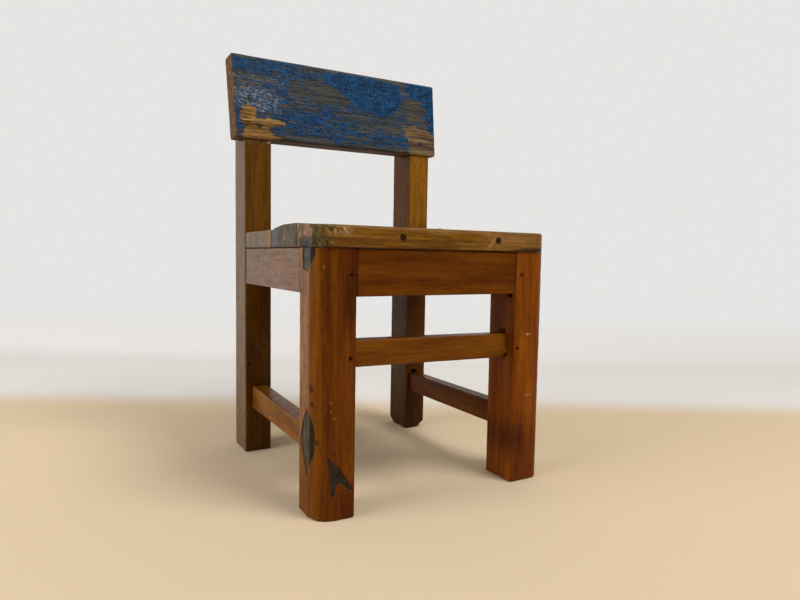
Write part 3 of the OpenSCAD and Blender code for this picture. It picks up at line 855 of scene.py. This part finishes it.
def stand_back(flat, along):
    """Sets the front plank's front edge back at its two rounded corners."""
    low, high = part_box("seat_front_plank")
    left = np.clip(LEFT_ROUND - (along - low.x), 0, LEFT_ROUND)
    right = np.clip(SEAT_RIGHT_ROUND - (high.x - along), 0, SEAT_RIGHT_ROUND)
    back = (LEFT_ROUND - np.sqrt(LEFT_ROUND ** 2 - left ** 2)
            + SEAT_RIGHT_ROUND - np.sqrt(SEAT_RIGHT_ROUND ** 2 - right ** 2))
    share = (high.y - flat[..., 0]) / (high.y - low.y)
    flat[..., 0] += share * back[:, None]
    return flat


def worn_down(flat, along):
    """Slopes the middle plank's top down to its back edge, most at its left."""
    low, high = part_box("seat_middle_plank")
    slope = fall(0, BACK_SLOPE, high.y - flat[..., 0])
    near_left = fall(0, 0.7, (along - low.x) / (high.x - low.x))[:, None]
    share = (flat[..., 1] - low.z) / (high.z - low.z)
    flat[..., 1] -= BACK_WEAR * slope * share * (0.4 + 0.6 * near_left)
    return flat


def seat_plank(node, seed, paint, corners, mould=None, rounds=(0, 0)):
    """A plank along X from its outline in Y and Z. rounds are its rounded corners' sizes."""
    low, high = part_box(node)
    stations = eased_stations(low.x, high.x, SEAT_STEP, SEAT_END_EASE, *rounds)
    piece = loft(node + "_timber", X, rounded_outline(corners), stations, mould)
    weather(piece, X, seed, dips=0.3, grooves=0.18, edges=1.1)
    trim(piece, node)
    prepare(piece, node, paint, seam_grime(piece, low, high))
    settle(piece, node, varnished_wood(node + "_wood", X, tones(SEAT), seed, bands=30))


def seam_grime(piece, low, high):
    """Dirt that has gathered along a plank's underside and its seams."""
    at = positions(piece)
    under = np.exp(-np.clip(at[:, 2] - low.z, 0, 1) / (1.2 * MM))
    seam = np.exp(-np.clip(high.y - at[:, 1], 0, 1) / (1.5 * MM))
    return 0.8 * np.maximum(under, seam)


def front_plank_stains(stain):
    """Pink and dark patches at the sawn left end, a green corner, and streaks along the front."""
    across, back, up = stain.own.T
    right = (stain.high.x - stain.low.x) / MM - across
    end, face = stain.faces(X, -1, 0.3), stain.faces(Y, -1)
    mottle = noise(stain.at, (5, 5, 4), 341)
    fine = noise(stain.at, (2.5, 2.5, 2.5), 342)
    stain.add((84, 64, 46), 0.8 * end)
    stain.add((150, 106, 74), 0.8 * end * rise(8, 15, up) * rise(0.35, 0.6, mottle))
    dark = end * fall(7, 14, up + 8 * mottle - 4) * rise(0.2, 0.4, fine) * (back < 50)
    stain.add((34, 22, 26), 0.95 * dark)
    corner = fall(14, 22, across) * fall(19, 26, back)
    stain.add((88, 78, 38), 0.85 * corner * rise(0.1, 0.5, mottle))
    stain.add((60, 46, 22), 0.7 * corner * patches(stain.at, (4, 4, 6), 346, 0.55, 0.7))
    stain.add((142, 130, 86), 0.8 * corner * rise(0.66, 0.8, fine))
    pink = face * rise(14, 19, across) * fall(27, 40, across) * rise(11, 16, up)
    stain.add((172, 132, 104), 0.75 * pink * rise(0.35, 0.6, fine))
    stain.add((196, 160, 130), 0.9 * pink * rise(0.68, 0.8, fine))
    stain.spots((30, 16, 6), (X, Z), [(11, 4.7, 0.8, 4.5)], 0.9)
    streak = patches(stain.at, along_grain(X, 2.6, 34), 343, 0.62, 0.78)
    stain.add((62, 34, 14), 0.4 * face * streak * rise(3, 8, up))
    stain.add((146, 104, 52), 0.6 * face * patches(stain.at, along_grain(X, 3, 40), 344, 0.60, 0.8))
    # Painted light: the front face lighter towards its right end
    stain.add((150, 112, 62), 0.45 * face * fall(70, 110, right))
    wedge = rise(1, 5, right) * fall(50, 74, right) * fall(1, 3, up - 3.5 * fall(20, 62, right))
    stain.add((50, 29, 14), 0.85 * wedge * face)
    cut = fall(1, 3, np.abs(across - 204 - 0.8 * up)) * rise(2, 6, up)
    stain.add((170, 128, 72), 0.7 * face * cut)
    stain.add((160, 136, 96), 0.7 * face * fall(5, 9, right))
    crack = fall(0.6, 1.6, np.abs(up - 20.5)) * fall(70, 90, right)
    stain.add((70, 40, 14), 0.7 * face * crack)
    top_marks(stain)


def middle_plank_stains(stain):
    """Grey, brown and green streaks at the sawn left end."""
    end = stain.faces(X, -1, 0.3)
    back = (stain.high.y - stain.at[:, 1]) / MM
    slanted = stain.at.copy()
    slanted[:, 1] += 0.35 * slanted[:, 2]
    brown = patches(slanted, (5, 4.5, 22), 351, 0.45, 0.62)
    stain.add((80, 70, 60), 0.85 * end)
    stain.add((58, 38, 20), 0.9 * end * brown * rise(20, 30, back))
    stain.add((72, 72, 44), 0.8 * end * patches(slanted, (3, 2, 8), 352, 0.55, 0.7))
    stain.add((136, 98, 56), 0.7 * end * patches(slanted, (3, 5, 6), 354, 0.82, 0.9))
    stain.add((24, 16, 14), 0.85 * end * patches(slanted, (4, 2.4, 12), 353, 0.66, 0.8))
    stain.add((80, 82, 88), 0.9 * end * fall(14, 22, back))
    top_marks(stain)


def rear_plank_stains(stain):
    """A grey-tan sawn left end, yellower beside the step in the seat."""
    end = stain.faces(X, -1, 0.3)
    stain.add((112, 98, 78), 0.85 * end)
    stain.add((84, 68, 50), 0.55 * end * patches(stain.at, (4, 5, 18), 361, 0.5, 0.8))
    stain.add((144, 112, 56), 0.8 * end * fall(3, 6, np.abs(stain.own[:, 1] - 15)))
    top_marks(stain)


def top_marks(stain):
    """Scratches, worn varnish and traces of blue and white paint on the upper faces."""
    top = stain.faces(Z, 1)
    stain.add((150, 112, 66), 0.6 * top * patches(stain.at, along_grain(X, 22, 90), 371, 0.5, 0.75))
    old = noise(stain.at, along_grain(X, 3.2, 30), 372) * noise(stain.at, along_grain(X, 20, 60), 373)
    stain.add((64, 84, 100), 0.75 * top * rise(0.40, 0.50, old))
    stain.add((52, 34, 18), 0.65 * top * patches(stain.at, along_grain(X, 2.2, 26), 374, 0.66, 0.8))


def make_seat():
    low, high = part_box("seat_front_plank")
    corners = [(low.y, low.z, SLIGHT, UNDER_STEP), (high.y, low.z, LEAST, SEAT_STEP),
               (high.y, high.z, SLIGHT, TOP_STEP), (low.y, high.z - FRONT_RISE, SEAT_ROUND, SEAT_STEP)]
    seat_plank("seat_front_plank", 121, front_plank_stains, corners, stand_back,
               (LEFT_ROUND, SEAT_RIGHT_ROUND))
    low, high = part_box("seat_middle_plank")
    corners = [(low.y, low.z, LEAST, UNDER_STEP), (high.y, low.z, LEAST, SEAT_STEP),
               (high.y, high.z - REAR_SEAM_WEAR, SLIGHT, SEAT_STEP),
               (high.y - CROWN_EASE, high.z, CROWN_EASE, TOP_STEP),
               (low.y + CROWN_EASE, high.z, CROWN_EASE, SEAT_STEP),
               (low.y, high.z - FRONT_SEAM_WEAR, SLIGHT, SEAT_STEP)]
    seat_plank("seat_middle_plank", 131, middle_plank_stains, corners, worn_down)
    low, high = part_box("seat_rear_plank")
    corners = [(low.y, low.z, LEAST, UNDER_STEP), (high.y, low.z, SLIGHT, SEAT_STEP),
               (high.y, high.z, SEAT_ROUND, TOP_STEP), (low.y, high.z, SLIGHT, SEAT_STEP)]
    seat_plank("seat_rear_plank", 141, rear_plank_stains, corners)


# ---- The backrest board ----

BOARD_TILT = math.radians(0.6)
END_SLANT = math.radians(3)
BOARD_ROUND = 3.5 * MM
BOARD_END_EASE = 1.2 * MM
PAINT_STEP = 0.82 * MM
EDGE_STEP = 1.7 * MM
BACK_STEP = 2.6 * MM
ALONG_STEP = 0.9 * MM


class Board:
    """The board's own frame: along its lower edge, back from its face, and up. Its length and
    height come from its CAD box, its tilt and the slant of its sawn ends."""

    def __init__(self):
        low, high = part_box("backrest_board")
        cos, sin, lean = math.cos(BOARD_TILT), math.sin(BOARD_TILT), math.tan(END_SLANT)
        sums = [[cos, lean * cos + sin], [sin, cos - lean * sin]]
        self.length, self.height = np.linalg.solve(sums, [high.x - low.x, high.z - low.z])
        self.depth = high.y - low.y
        self.corner = np.array([high.x - self.length * cos, low.y, low.z])
        self.axes = np.array([[cos, 0, sin], [0, 1, 0], [-sin, 0, cos]])
        self.lean = lean

    def out(self, own):
        """Places in space from the board's own coordinates, with its slanted ends."""
        slanted = own.copy()
        slanted[..., 0] -= self.lean * own[..., 2]
        return self.corner + slanted @ self.axes

    def own(self, at):
        """The board's own coordinates of places in space, as if its ends were square."""
        found = (at - self.corner) @ self.axes.T
        found[..., 0] += self.lean * found[..., 2]
        return found


def depth_inside(points, polygon):
    """How far each point lies inside a polygon, below zero outside it."""
    corners = np.array(polygon, float)
    nearest = np.full(len(points), 1e9)
    inside = np.zeros(len(points), bool)
    for a, b in zip(corners, np.roll(corners, -1, axis=0)):
        side = b - a
        to = points - a
        share = np.clip(to @ side / (side @ side), 0, 1)
        nearest = np.minimum(nearest, np.linalg.norm(to - share[:, None] * side, axis=1))
        crosses = (a[1] > points[:, 1]) != (b[1] > points[:, 1])
        climb = side[1] or 1e-9
        inside ^= crosses & (points[:, 0] < a[0] + (points[:, 1] - a[1]) * side[0] / climb)
    return np.where(inside, nearest, -nearest)


def blob(across, up, middle, radii):
    """1 in the middle of an ellipse, fading to 0 beyond its edge."""
    distance = np.hypot((across - middle[0]) / radii[0], (up - middle[1]) / radii[1])
    return fall(0.7, 1.25, distance)


# Places on the board's face are shares of its length and of its height.
SOLID_BLUE = [(0.41, 0.87), (0.498, 0.73), (0.54, 0.63), (0.56, 0.585), (0.60, 0.565), (0.66, 0.53),
              (0.71, 0.455), (0.731, 0.49), (0.761, 0.53), (0.795, 0.595), (0.793, 0.66), (0.804, 0.75),
              (0.811, 0.84), (0.797, 0.90), (0.72, 0.955), (0.50, 0.965), (0.43, 0.93)]
RIGHT_BLUE = [(0.835, 1.03), (0.842, 0.895), (0.861, 0.79), (0.89, 0.757), (0.921, 0.753), (0.939, 0.67),
              (0.957, 0.60), (0.953, 0.49), (0.968, 0.426), (0.983, 0.33), (1.03, 0.26), (1.03, 1.03)]
BARE_LEFT = [(0.026, 0.37), (0.064, 0.409), (0.087, 0.401), (0.099, 0.334), (0.076, 0.289), (0.09, 0.243),
             (0.135, 0.25), (0.181, 0.249), (0.224, 0.212), (0.155, 0.164), (0.16, 0.11), (0.171, 0.058),
             (0.205, 0.02), (0.20, -0.05), (0.02, -0.05), (0.03, 0.05), (0.035, 0.14), (0.02, 0.19)]
BARE_RIGHT = [(0.816, 0.371), (0.904, 0.398), (0.973, 0.344), (1.03, 0.258), (1.03, -0.05), (0.86, -0.05),
              (0.84, 0.07), (0.856, 0.103), (0.833, 0.24)]
OLIVE = [(0.241, 0.70), (0.294, 0.79), (0.354, 0.814), (0.401, 0.78), (0.498, 0.729), (0.542, 0.617),
         (0.545, 0.562), (0.494, 0.545), (0.425, 0.54), (0.41, 0.50), (0.315, 0.52), (0.251, 0.60)]
# How much of the paint holds on round a place: (middle, radii, share), each laid over those before
HOLDS = [((0.16, 0.90), (0.24, 0.11), 0.9), ((0.24, 0.66), (0.09, 0.16), 0.75),
         ((0.08, 0.70), (0.13, 0.08), 0.3), ((0.10, 0.48), (0.13, 0.16), 0.55),
         ((0.65, 0.37), (0.17, 0.09), 0.3), ((0.37, 0.24), (0.19, 0.17), 0.82),
         ((0.68, 0.17), (0.16, 0.09), 0.65), ((0.37, 0.07), (0.10, 0.04), 0.25),
         ((0.75, 0.27), (0.06, 0.03), 0.2), ((0.36, 0.945), (0.05, 0.03), 0.1),
         ((0.44, 0.975), (0.03, 0.03), 0), ((0.60, 0.985), (0.05, 0.02), 0.2),
         ((0.79, 0.95), (0.012, 0.04), 0), ((0.825, 0.88), (0.02, 0.1), 0.3),
         ((0.55, 0.03), (0.35, 0.035), 0.25), ((0.05, 0.985), (0.05, 0.02), 0.1)]
# Bare tan spots: (middle, radii, share)
TANS = [((0.03, 0.597), (0.045, 0.012), 1), ((0.217, 0.445), (0.03, 0.035), 0.7),
        ((0.43, 0.62), (0.05, 0.03), 0.3)]
# Where the grain bends round a knot: (middle, reach, how far it bends)
KNOTS = [((0.103, 0.18), 5 * MM, 2.4 * MM), ((0.90, 0.64), 11 * MM, 5 * MM)]


class Face:
    """What is left of the paint on the board's face, for each vertex."""

    def __init__(self, own, board, facing, edge):
        self.size = np.array([board.length, board.height]) / MM
        self.places = own[:, [0, 2]] / MM + self.wander(own)
        self.across, self.up = (self.places / self.size).T
        solid, strip = self.within(SOLID_BLUE), self.within(RIGHT_BLUE)
        bare_left, bare_right = self.within(BARE_LEFT), self.within(BARE_RIGHT)
        bare = np.maximum(bare_left, 0.6 * bare_right)
        knot = self.round((0.892, 0.62), (0.06, 0.17))
        hold = np.full(len(own), 0.5)
        for middle, radii, share in HOLDS:
            hold += self.round(middle, radii) * (share - hold)
        hold += self.within(OLIVE) * (0.08 - hold)
        hold += knot * (-0.2 - hold)
        hold += np.maximum(solid, strip) * (1.5 - hold)
        hold += bare * (-0.6 - hold)
        hold += self.left_strip(own) * (0.9 - hold)
        hold -= edge * (0.5 + 0.4 * (1 - strip))
        hold += (1 - facing) * (-1.2 - hold)
        streak = 0.55 * noise(own, (11, THROUGH, 1.7), 203) + 0.45 * noise(own, (3.4, THROUGH, 1), 204)
        self.paint = np.clip(0.6 * (hold - 0.5) + 1.25 * (streak - 0.5), -1, 1)
        chalk = np.maximum(self.round((0.10, 0.48), (0.12, 0.17)), 0.2)
        chalk = np.maximum(chalk, 0.55 * self.round((0.10, 0.71), (0.15, 0.1)))
        self.chalk = chalk * (1 - bare) * (1 - solid) * (1 - strip) * (1 - knot) * facing
        tan = np.maximum(bare_left, 0.5 * bare_right)
        for middle, radii, share in TANS:
            tan = np.maximum(tan, share * self.round(middle, radii))
        self.tan = np.maximum(tan, 0.12 * knot) * facing
        self.swirl = np.zeros(len(own))
        for middle, wide, lift in KNOTS:
            away = (own[:, [0, 2]] - np.array(middle) * self.size * MM) / (wide, 0.7 * wide)
            self.swirl -= lift * np.tanh(1.5 * away[:, 1]) * np.exp(-0.5 * (away ** 2).sum(axis=1))

    def wander(self, own):
        """How far each place is moved along and up, in millimetres, so that outlines are ragged."""
        along = (9 * (noise(own, (11, THROUGH, 4), 201) - 0.5)
                 + 4 * (noise(own, (3, THROUGH, 1.6), 202) - 0.5))
        up = (5 * (noise(own, (9, THROUGH, 6), 205) - 0.5)
              + 3 * (noise(own, (2.6, THROUGH, 2.4), 206) - 0.5))
        return np.stack([along, up], axis=1)

    def left_strip(self, own):
        """1 on the thin line of paint that is left along the lower part of the left end."""
        across, up = (own[:, [0, 2]] / MM / self.size).T
        line = fall(0.018, 0.03, across + 0.01 * (noise(own, (3, 3, 3), 207) - 0.5))
        return line * rise(0.06, 0.1, up) * fall(0.44, 0.5, up)

    def within(self, outline):
        return rise(-0.9, 0.9, depth_inside(self.places, np.array(outline) * self.size))

    def round(self, middle, radii):
        return blob(self.across, self.up, middle, radii)


def make_board():
    board = Board()
    corners = square((0, 0), (board.depth, board.height), BOARD_ROUND, EDGE_STEP)
    corners[1] = corners[1][:3] + (BACK_STEP,)
    corners[3] = corners[3][:3] + (PAINT_STEP,)
    stations = eased_stations(0, board.length, ALONG_STEP, BOARD_END_EASE)
    piece = loft("backrest_board_timber", X, rounded_outline(corners), stations)
    own = positions(piece)
    move(piece, board.out(own))
    facing = rise(0.3, 0.8, -normals(piece)[:, 1])
    edge = edge_share(piece)
    flaked = fall(-0.06, 0.06, Face(own, board, facing, edge).paint) * facing
    grooves = patches(own, (30, 30, 1.3), 211, 0.50, 0.75)
    knock = noise(own, (9, 5, 5), 213) * noise(own, (4, 3, 3), 214)
    depth = (0.03 + 0.28 * flaked + (0.14 + 0.32 * flaked) * grooves
             + 0.25 * noise(own, (60, 60, 7), 212) + 0.9 * edge * knock)
    press_in(piece, depth * MM)
    trim(piece, "backrest_board")
    facing = rise(0.3, 0.8, -normals(piece)[:, 1])
    face = Face(board.own(positions(piece)), board, facing, edge_share(piece))
    mark(piece, "facing", facing)
    for name in ("paint", "chalk", "tan", "swirl"):
        mark(piece, name, getattr(face, name))
    settle(piece, "backrest_board", painted_wood())


def bare_board(g):
    """The weathered board under the paint, and the height of its grain."""
    lift = g.add("CombineXYZ", {"Z": g.attribute("swirl")}).outputs[0]
    bent = g.vector("ADD", g.object, {1: lift})
    grain = g.warped(g.stretched(X, 0.05, 5, bent), 14, 0.008)
    fine = g.noise(grain, 560, 4, 0.7)
    broad = g.noise(grain, 170, 3, 0.6)
    share = g.plus(g.times(fine, 0.5), g.times(broad, 0.5))
    share = g.remap(share, 0.37, 0.63)
    olive = g.ramp(share, [(0, srgb(32, 27, 20)), (0.45, srgb(66, 58, 40)), (1, srgb(106, 92, 66))])
    tan = g.ramp(share, [(0, srgb(54, 34, 12)), (0.3, srgb(98, 68, 32)), (0.6, srgb(140, 108, 62)),
                         (1, srgb(180, 148, 98))])
    sawn = g.ramp(share, [(0, srgb(46, 30, 16)), (0.5, srgb(90, 66, 42)), (1, srgb(116, 90, 60))])
    film = g.remap(g.streaks(X, 0.35, 8, 330, 4, 0.65), 0.4, 0.6, 0.05, 0.75)
    filmed = g.mix(film, olive, srgb(48, 68, 82))
    face = g.mix(g.attribute("tan"), filmed, tan)
    return g.mix(g.attribute("facing"), sawn, face), fine


def blue_paint(g):
    """Old blue paint: thin and dull in places, with small light flecks."""
    cloud = g.streaks(X, 0.45, 9, 210, 5, 0.7)
    blue = g.ramp(cloud, [(0.34, srgb(4, 28, 50)), (0.5, srgb(8, 52, 92)), (0.66, srgb(22, 72, 118))])
    flecks = g.streaks(X, 0.55, 17, 820, 2, 0.6)
    return g.mix(g.remap(flecks, 0.57, 0.65, 0, 0.6), blue, srgb(74, 122, 158))


def painted_wood():
    """Weathered timber under what is left of old blue paint."""
    g = Graph("painted_wood")
    wood, fine = bare_board(g)
    torn = g.streaks(X, 0.4, 12, 900, 4, 0.7)
    ragged = g.plus(g.attribute("paint"), g.times(g.minus(torn, 0.5), 1.3))
    painted = g.remap(ragged, -0.04, 0.06)
    colour = g.mix(painted, wood, blue_paint(g))
    specks = g.streaks(X, 0.6, 11, 520, 4, 0.7)
    chalk = g.attribute("chalk")
    haze = g.times(chalk, g.remap(g.noise(g.object, 260, 3), 0.35, 0.65, 0, 0.55))
    colour = g.mix(haze, colour, srgb(76, 90, 108))
    flecked = g.remap(g.plus(specks, g.times(chalk, 0.10)), 0.62, 0.70, 0, 0.7)
    colour = g.mix(g.times(flecked, chalk), colour, srgb(140, 156, 176))
    crack = g.remap(g.streaks(X, 0.08, 13, 420, 2, 0.6), 0.63, 0.69)
    pits = g.remap(g.streaks(X, 0.5, 15, 760, 2, 0.6), 0.64, 0.70)
    sunk = g.times(g.math("MAXIMUM", crack, pits), g.attribute("facing"))
    colour = g.mix(g.times(sunk, 0.75), colour, srgb(14, 14, 14))
    roughness = g.remap(painted, 0, 1, 0.72, 0.45)
    lift = g.minus(g.plus(g.times(painted, 0.5), fine), sunk)
    normal = g.bump(lift, 0.35 * MM, 0.8)
    normal = g.bump(specks, 0.25 * MM, 0.6, normal)
    return g.finish(colour, roughness, normal, Specular_IOR_Level=VARNISH)


# ---- Pegs, treenails and nails ----

PIN_SIDES = 28
# The noise that makes a pin uneven is taken round a circle of one metre's radius.
PIN_CELL = (800, 800, 1000)
HEAD_THICK = 1 * MM
SHANK = 1.4 * MM


def pin(name, axis, low, high, profile, seed):
    """A round pin along an axis. profile is a list of (distance from the low end, radius)."""
    u_axis, v_axis = SIDE_AXES[axis]
    middle = (low + high) / 2
    turn = np.linspace(0, 2 * np.pi, PIN_SIDES, endpoint=False)
    rim = np.stack([np.cos(turn), np.sin(turn)], axis=1)
    along = np.array([p[0] for p in profile])
    flat = rim * np.array([p[1] for p in profile])[:, None, None]
    uneven = noise(np.concatenate([rim, np.full((PIN_SIDES, 1), seed)], axis=1), PIN_CELL, seed)
    flat = flat * (0.93 + 0.07 * uneven)[:, None]
    flat = flat + middle[[u_axis, v_axis]]
    return skin(name, ring_points(axis, flat, low[axis] + along), 3)


def merge(name, pieces):
    """One piece from several meshes."""
    work = bmesh.new()
    for piece in pieces:
        work.from_mesh(piece.data)
        bpy.data.objects.remove(piece)
    mesh = bpy.data.meshes.new(name)
    work.to_mesh(mesh)
    work.free()
    return put(name, mesh)


def peg_profile(length, radius):
    """A cut peg, a little rounded at its shown end."""
    ends = [(0, 0.72), (0.12, 0.88), (0.35, 0.97), (0.7, 1)]
    shown = [(d * MM, share * radius) for d, share in ends]
    return shown + [(length * part, radius) for part in (0.25, 0.5, 0.75)] + [(length, 0.9 * radius)]


def nail_profile(length, radius):
    """A nail from its slightly domed head to its point."""
    head = [(0, 0.55), (0.1, 0.8), (0.3, 0.97), (0.6, 1), (0.99, 0.98)]
    shown = [(d * HEAD_THICK, share * radius) for d, share in head]
    shank = [(HEAD_THICK, SHANK), (length / 2, SHANK), (length - 3 * MM, SHANK), (length, 0.2 * SHANK)]
    return shown + shank


def make_pins(node, material, axis, shape, flipped=False):
    """All the pins of a CAD node. flipped ones have their shown end at the high end."""
    made = []
    side = SIDE_AXES[axis][0]
    for number, (low, high) in enumerate(loose_boxes(node)):
        length = high[axis] - low[axis]
        radius = (high[side] - low[side]) / 2
        profile = shape(length, radius)
        if flipped:
            profile = [(length - d, r) for d, r in reversed(profile)]
        made.append(pin("pin", axis, low, high, profile, number + 1))
    settle(merge(node + "_set", made), node, material)


def end_grain(name, dark, light):
    """The cut end of a dark peg."""
    g = Graph(name)
    rings = g.noise(g.warped(g.object, 300, 0.002), 1400, 3, 0.6)
    colour = g.ramp(g.remap(rings, 0.35, 0.65), [(0, dark), (1, light)])
    soot = g.remap(g.noise(g.object, 500, 2), 0.5, 0.65, 0, 0.6)
    colour = g.mix(soot, colour, srgb(18, 10, 5))
    roughness = g.remap(rings, 0.3, 0.7, 0.5, 0.7)
    return g.finish(colour, roughness, g.bump(rings, 0.3 * MM, 0.6), Specular_IOR_Level=VARNISH)


def old_iron():
    """Nail heads, rubbed bright in spots and rusty elsewhere."""
    g = Graph("old_iron")
    rust = g.noise(g.object, 900, 4, 0.65)
    colour = g.ramp(rust, [(0.35, srgb(24, 20, 19)), (0.5, srgb(46, 34, 26)), (0.68, srgb(92, 86, 80))])
    roughness = g.remap(rust, 0.35, 0.65, 0.75, 0.45)
    return g.finish(colour, roughness, g.bump(rust, 0.3 * MM, 0.8), Metallic=0.4)


def make_fastenings():
    peg_wood = end_grain("peg_wood", srgb(14, 7, 3), srgb(34, 18, 8))
    treenail_wood = end_grain("treenail_wood", srgb(30, 14, 6), srgb(66, 38, 14))
    iron = old_iron()
    make_pins("apron_pegs", peg_wood, Y, peg_profile)
    make_pins("stretcher_pegs", peg_wood, Y, peg_profile)
    make_pins("seat_treenails", treenail_wood, Y, peg_profile)
    make_pins("backrest_nails", iron, Y, nail_profile)
    make_pins("seat_nails", iron, Z, nail_profile, flipped=True)


# ---- Studio ----

# From the front left leg's outer front corner
CAMERA_FROM_LEG = Vector((-217.1, -542, 268.6)) * MM
CAMERA_YAW = 29.99
CAMERA_PITCH = -4.16
CAMERA_ROLL = 0.98
SENSOR_WIDTH = 36
LENS = 26.905
LENS_SHIFT = (-0.0027, 0.001)
SWEEP_BEND = 0.12
SWEEP_TOP = 3.2
SWEEP_HALF_WIDTH = 5
# Distances from the camera, straight ahead of it
FLOOR_PALES = (1.02, 1.16)
WALL_AHEAD = 1.62
SWEEP_START = -4
FLOOR_COLOUR = srgb(206, 186, 156)
FAR_FLOOR_COLOUR = srgb(216, 213, 209)
WALL_COLOUR = srgb(230, 229, 227)
WHITE = srgb(255, 255, 255)
SOFT_LIGHT = srgb(250, 250, 255)
SOFT_LIGHT_STRENGTH = 0.42
# Each lamp's place, width, power and colour
KEY_LAMP = (Vector((0.7, -1.3, 2.1)), 1.1, 40, (1, 0.98, 0.95))
LEFT_LAMP = (Vector((-2, 0, 1)), 1.4, 30, (1, 1, 1))


def make_camera():
    """The camera of the photograph."""
    data = bpy.data.cameras.new("camera")
    data.sensor_width = SENSOR_WIDTH
    data.lens = LENS
    data.shift_x, data.shift_y = LENS_SHIFT
    camera = put("camera", data)
    turn = (Matrix.Rotation(math.radians(-CAMERA_YAW), 4, "Z")
            @ Matrix.Rotation(math.radians(90 + CAMERA_PITCH), 4, "X")
            @ Matrix.Rotation(math.radians(CAMERA_ROLL), 4, "Z"))
    camera.matrix_world = Matrix.Translation(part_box("front_left_leg")[0] + CAMERA_FROM_LEG) @ turn
    bpy.context.scene.camera = camera


def make_sweep():
    """A pale floor that curves up into a wall behind the chair, square to the camera."""
    curve = [(WALL_AHEAD - SWEEP_BEND + SWEEP_BEND * math.sin(a), SWEEP_BEND - SWEEP_BEND * math.cos(a))
             for a in np.radians(np.linspace(0, 90, 17))]
    profile = [(SWEEP_START, 0)] + curve + [(WALL_AHEAD, SWEEP_TOP)]
    points = [(side * SWEEP_HALF_WIDTH, y, z) for y, z in profile for side in (-1, 1)]
    faces = [(2 * k, 2 * k + 1, 2 * k + 3, 2 * k + 2) for k in range(len(profile) - 1)]
    mesh = bpy.data.meshes.new("sweep")
    mesh.from_pydata(points, [], faces)
    mesh.shade_smooth()
    sweep = put("sweep", mesh)
    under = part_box("front_left_leg")[0] + CAMERA_FROM_LEG
    under.z = 0
    sweep.matrix_world = Matrix.Translation(under) @ Matrix.Rotation(math.radians(-CAMERA_YAW), 4, "Z")
    mesh.materials.append(pale_ground())


def pale_ground():
    """A pale floor, which turns as it curves up into a wall that is evenly pale for the camera, and
    in reflections."""
    g = Graph("pale_ground")
    path = g.add("LightPath").outputs
    mirrored = g.math("MAXIMUM", path["Is Glossy Ray"], path["Is Transmission Ray"])
    seen = g.math("MAXIMUM", path["Is Camera Ray"], mirrored)
    place = g.add("SeparateXYZ", {"Vector": g.object}).outputs
    wall = g.times(seen, g.remap(place["Z"], 0, SWEEP_BEND, smooth=True))
    far = g.remap(place["Y"], *FLOOR_PALES, smooth=True)
    colour = g.mix(far, FLOOR_COLOUR, FAR_FLOOR_COLOUR)
    floor = g.add("BsdfDiffuse", {"Color": colour}).outputs[0]
    glow = g.add("Emission", {"Color": WALL_COLOUR}).outputs[0]
    both = g.add("MixShader", {0: wall, 1: floor, 2: glow}).outputs[0]
    g.add("OutputMaterial", {"Surface": both})
    return g.owner


def area_light(name, place, size, power, colour):
    """A soft lamp that faces the middle of the chair."""
    data = bpy.data.lights.new(name, "AREA")
    data.shape = "DISK"
    data.size = size
    data.energy = power
    data.color = colour
    lamp = put(name, data)
    lamp.location = place
    middle = (cad_low + cad_high) / 2
    lamp.rotation_euler = (middle - lamp.location).to_track_quat("-Z", "Y").to_euler()
    return lamp


def make_world():
    """A pale surround for the camera, dimmer in front of the chair for reflections, and a soft
    even light for the rest."""
    g = Graph("studio", "worlds")
    bpy.context.scene.world = g.owner
    path = g.add("LightPath").outputs
    direction = g.add("TexCoord").outputs["Generated"]
    behind = g.add("SeparateXYZ", {0: direction}).outputs["Y"]
    brighter = g.remap(behind, -0.2, 0.5, 0.06, 0.8)
    shown = g.add("Background", {"Color": WALL_COLOUR}).outputs[0]
    mirrored = g.add("Background", {"Color": WHITE, "Strength": brighter}).outputs[0]
    soft = {"Color": SOFT_LIGHT, "Strength": SOFT_LIGHT_STRENGTH}
    lit = g.add("Background", soft).outputs[0]
    unseen = g.add("MixShader", {0: path["Is Glossy Ray"], 1: lit, 2: mirrored}).outputs[0]
    both = g.add("MixShader", {0: path["Is Camera Ray"], 1: unseen, 2: shown}).outputs[0]
    g.add("OutputWorld", {"Surface": both})


def make_studio():
    make_camera()
    make_sweep()
    make_world()
    area_light("key", *KEY_LAMP)
    area_light("left", *LEFT_LAMP).visible_glossy = False
    bpy.context.scene.view_settings.view_transform = "Standard"


make_studio()
make_frame()
make_seat()
make_board()
make_fastenings()
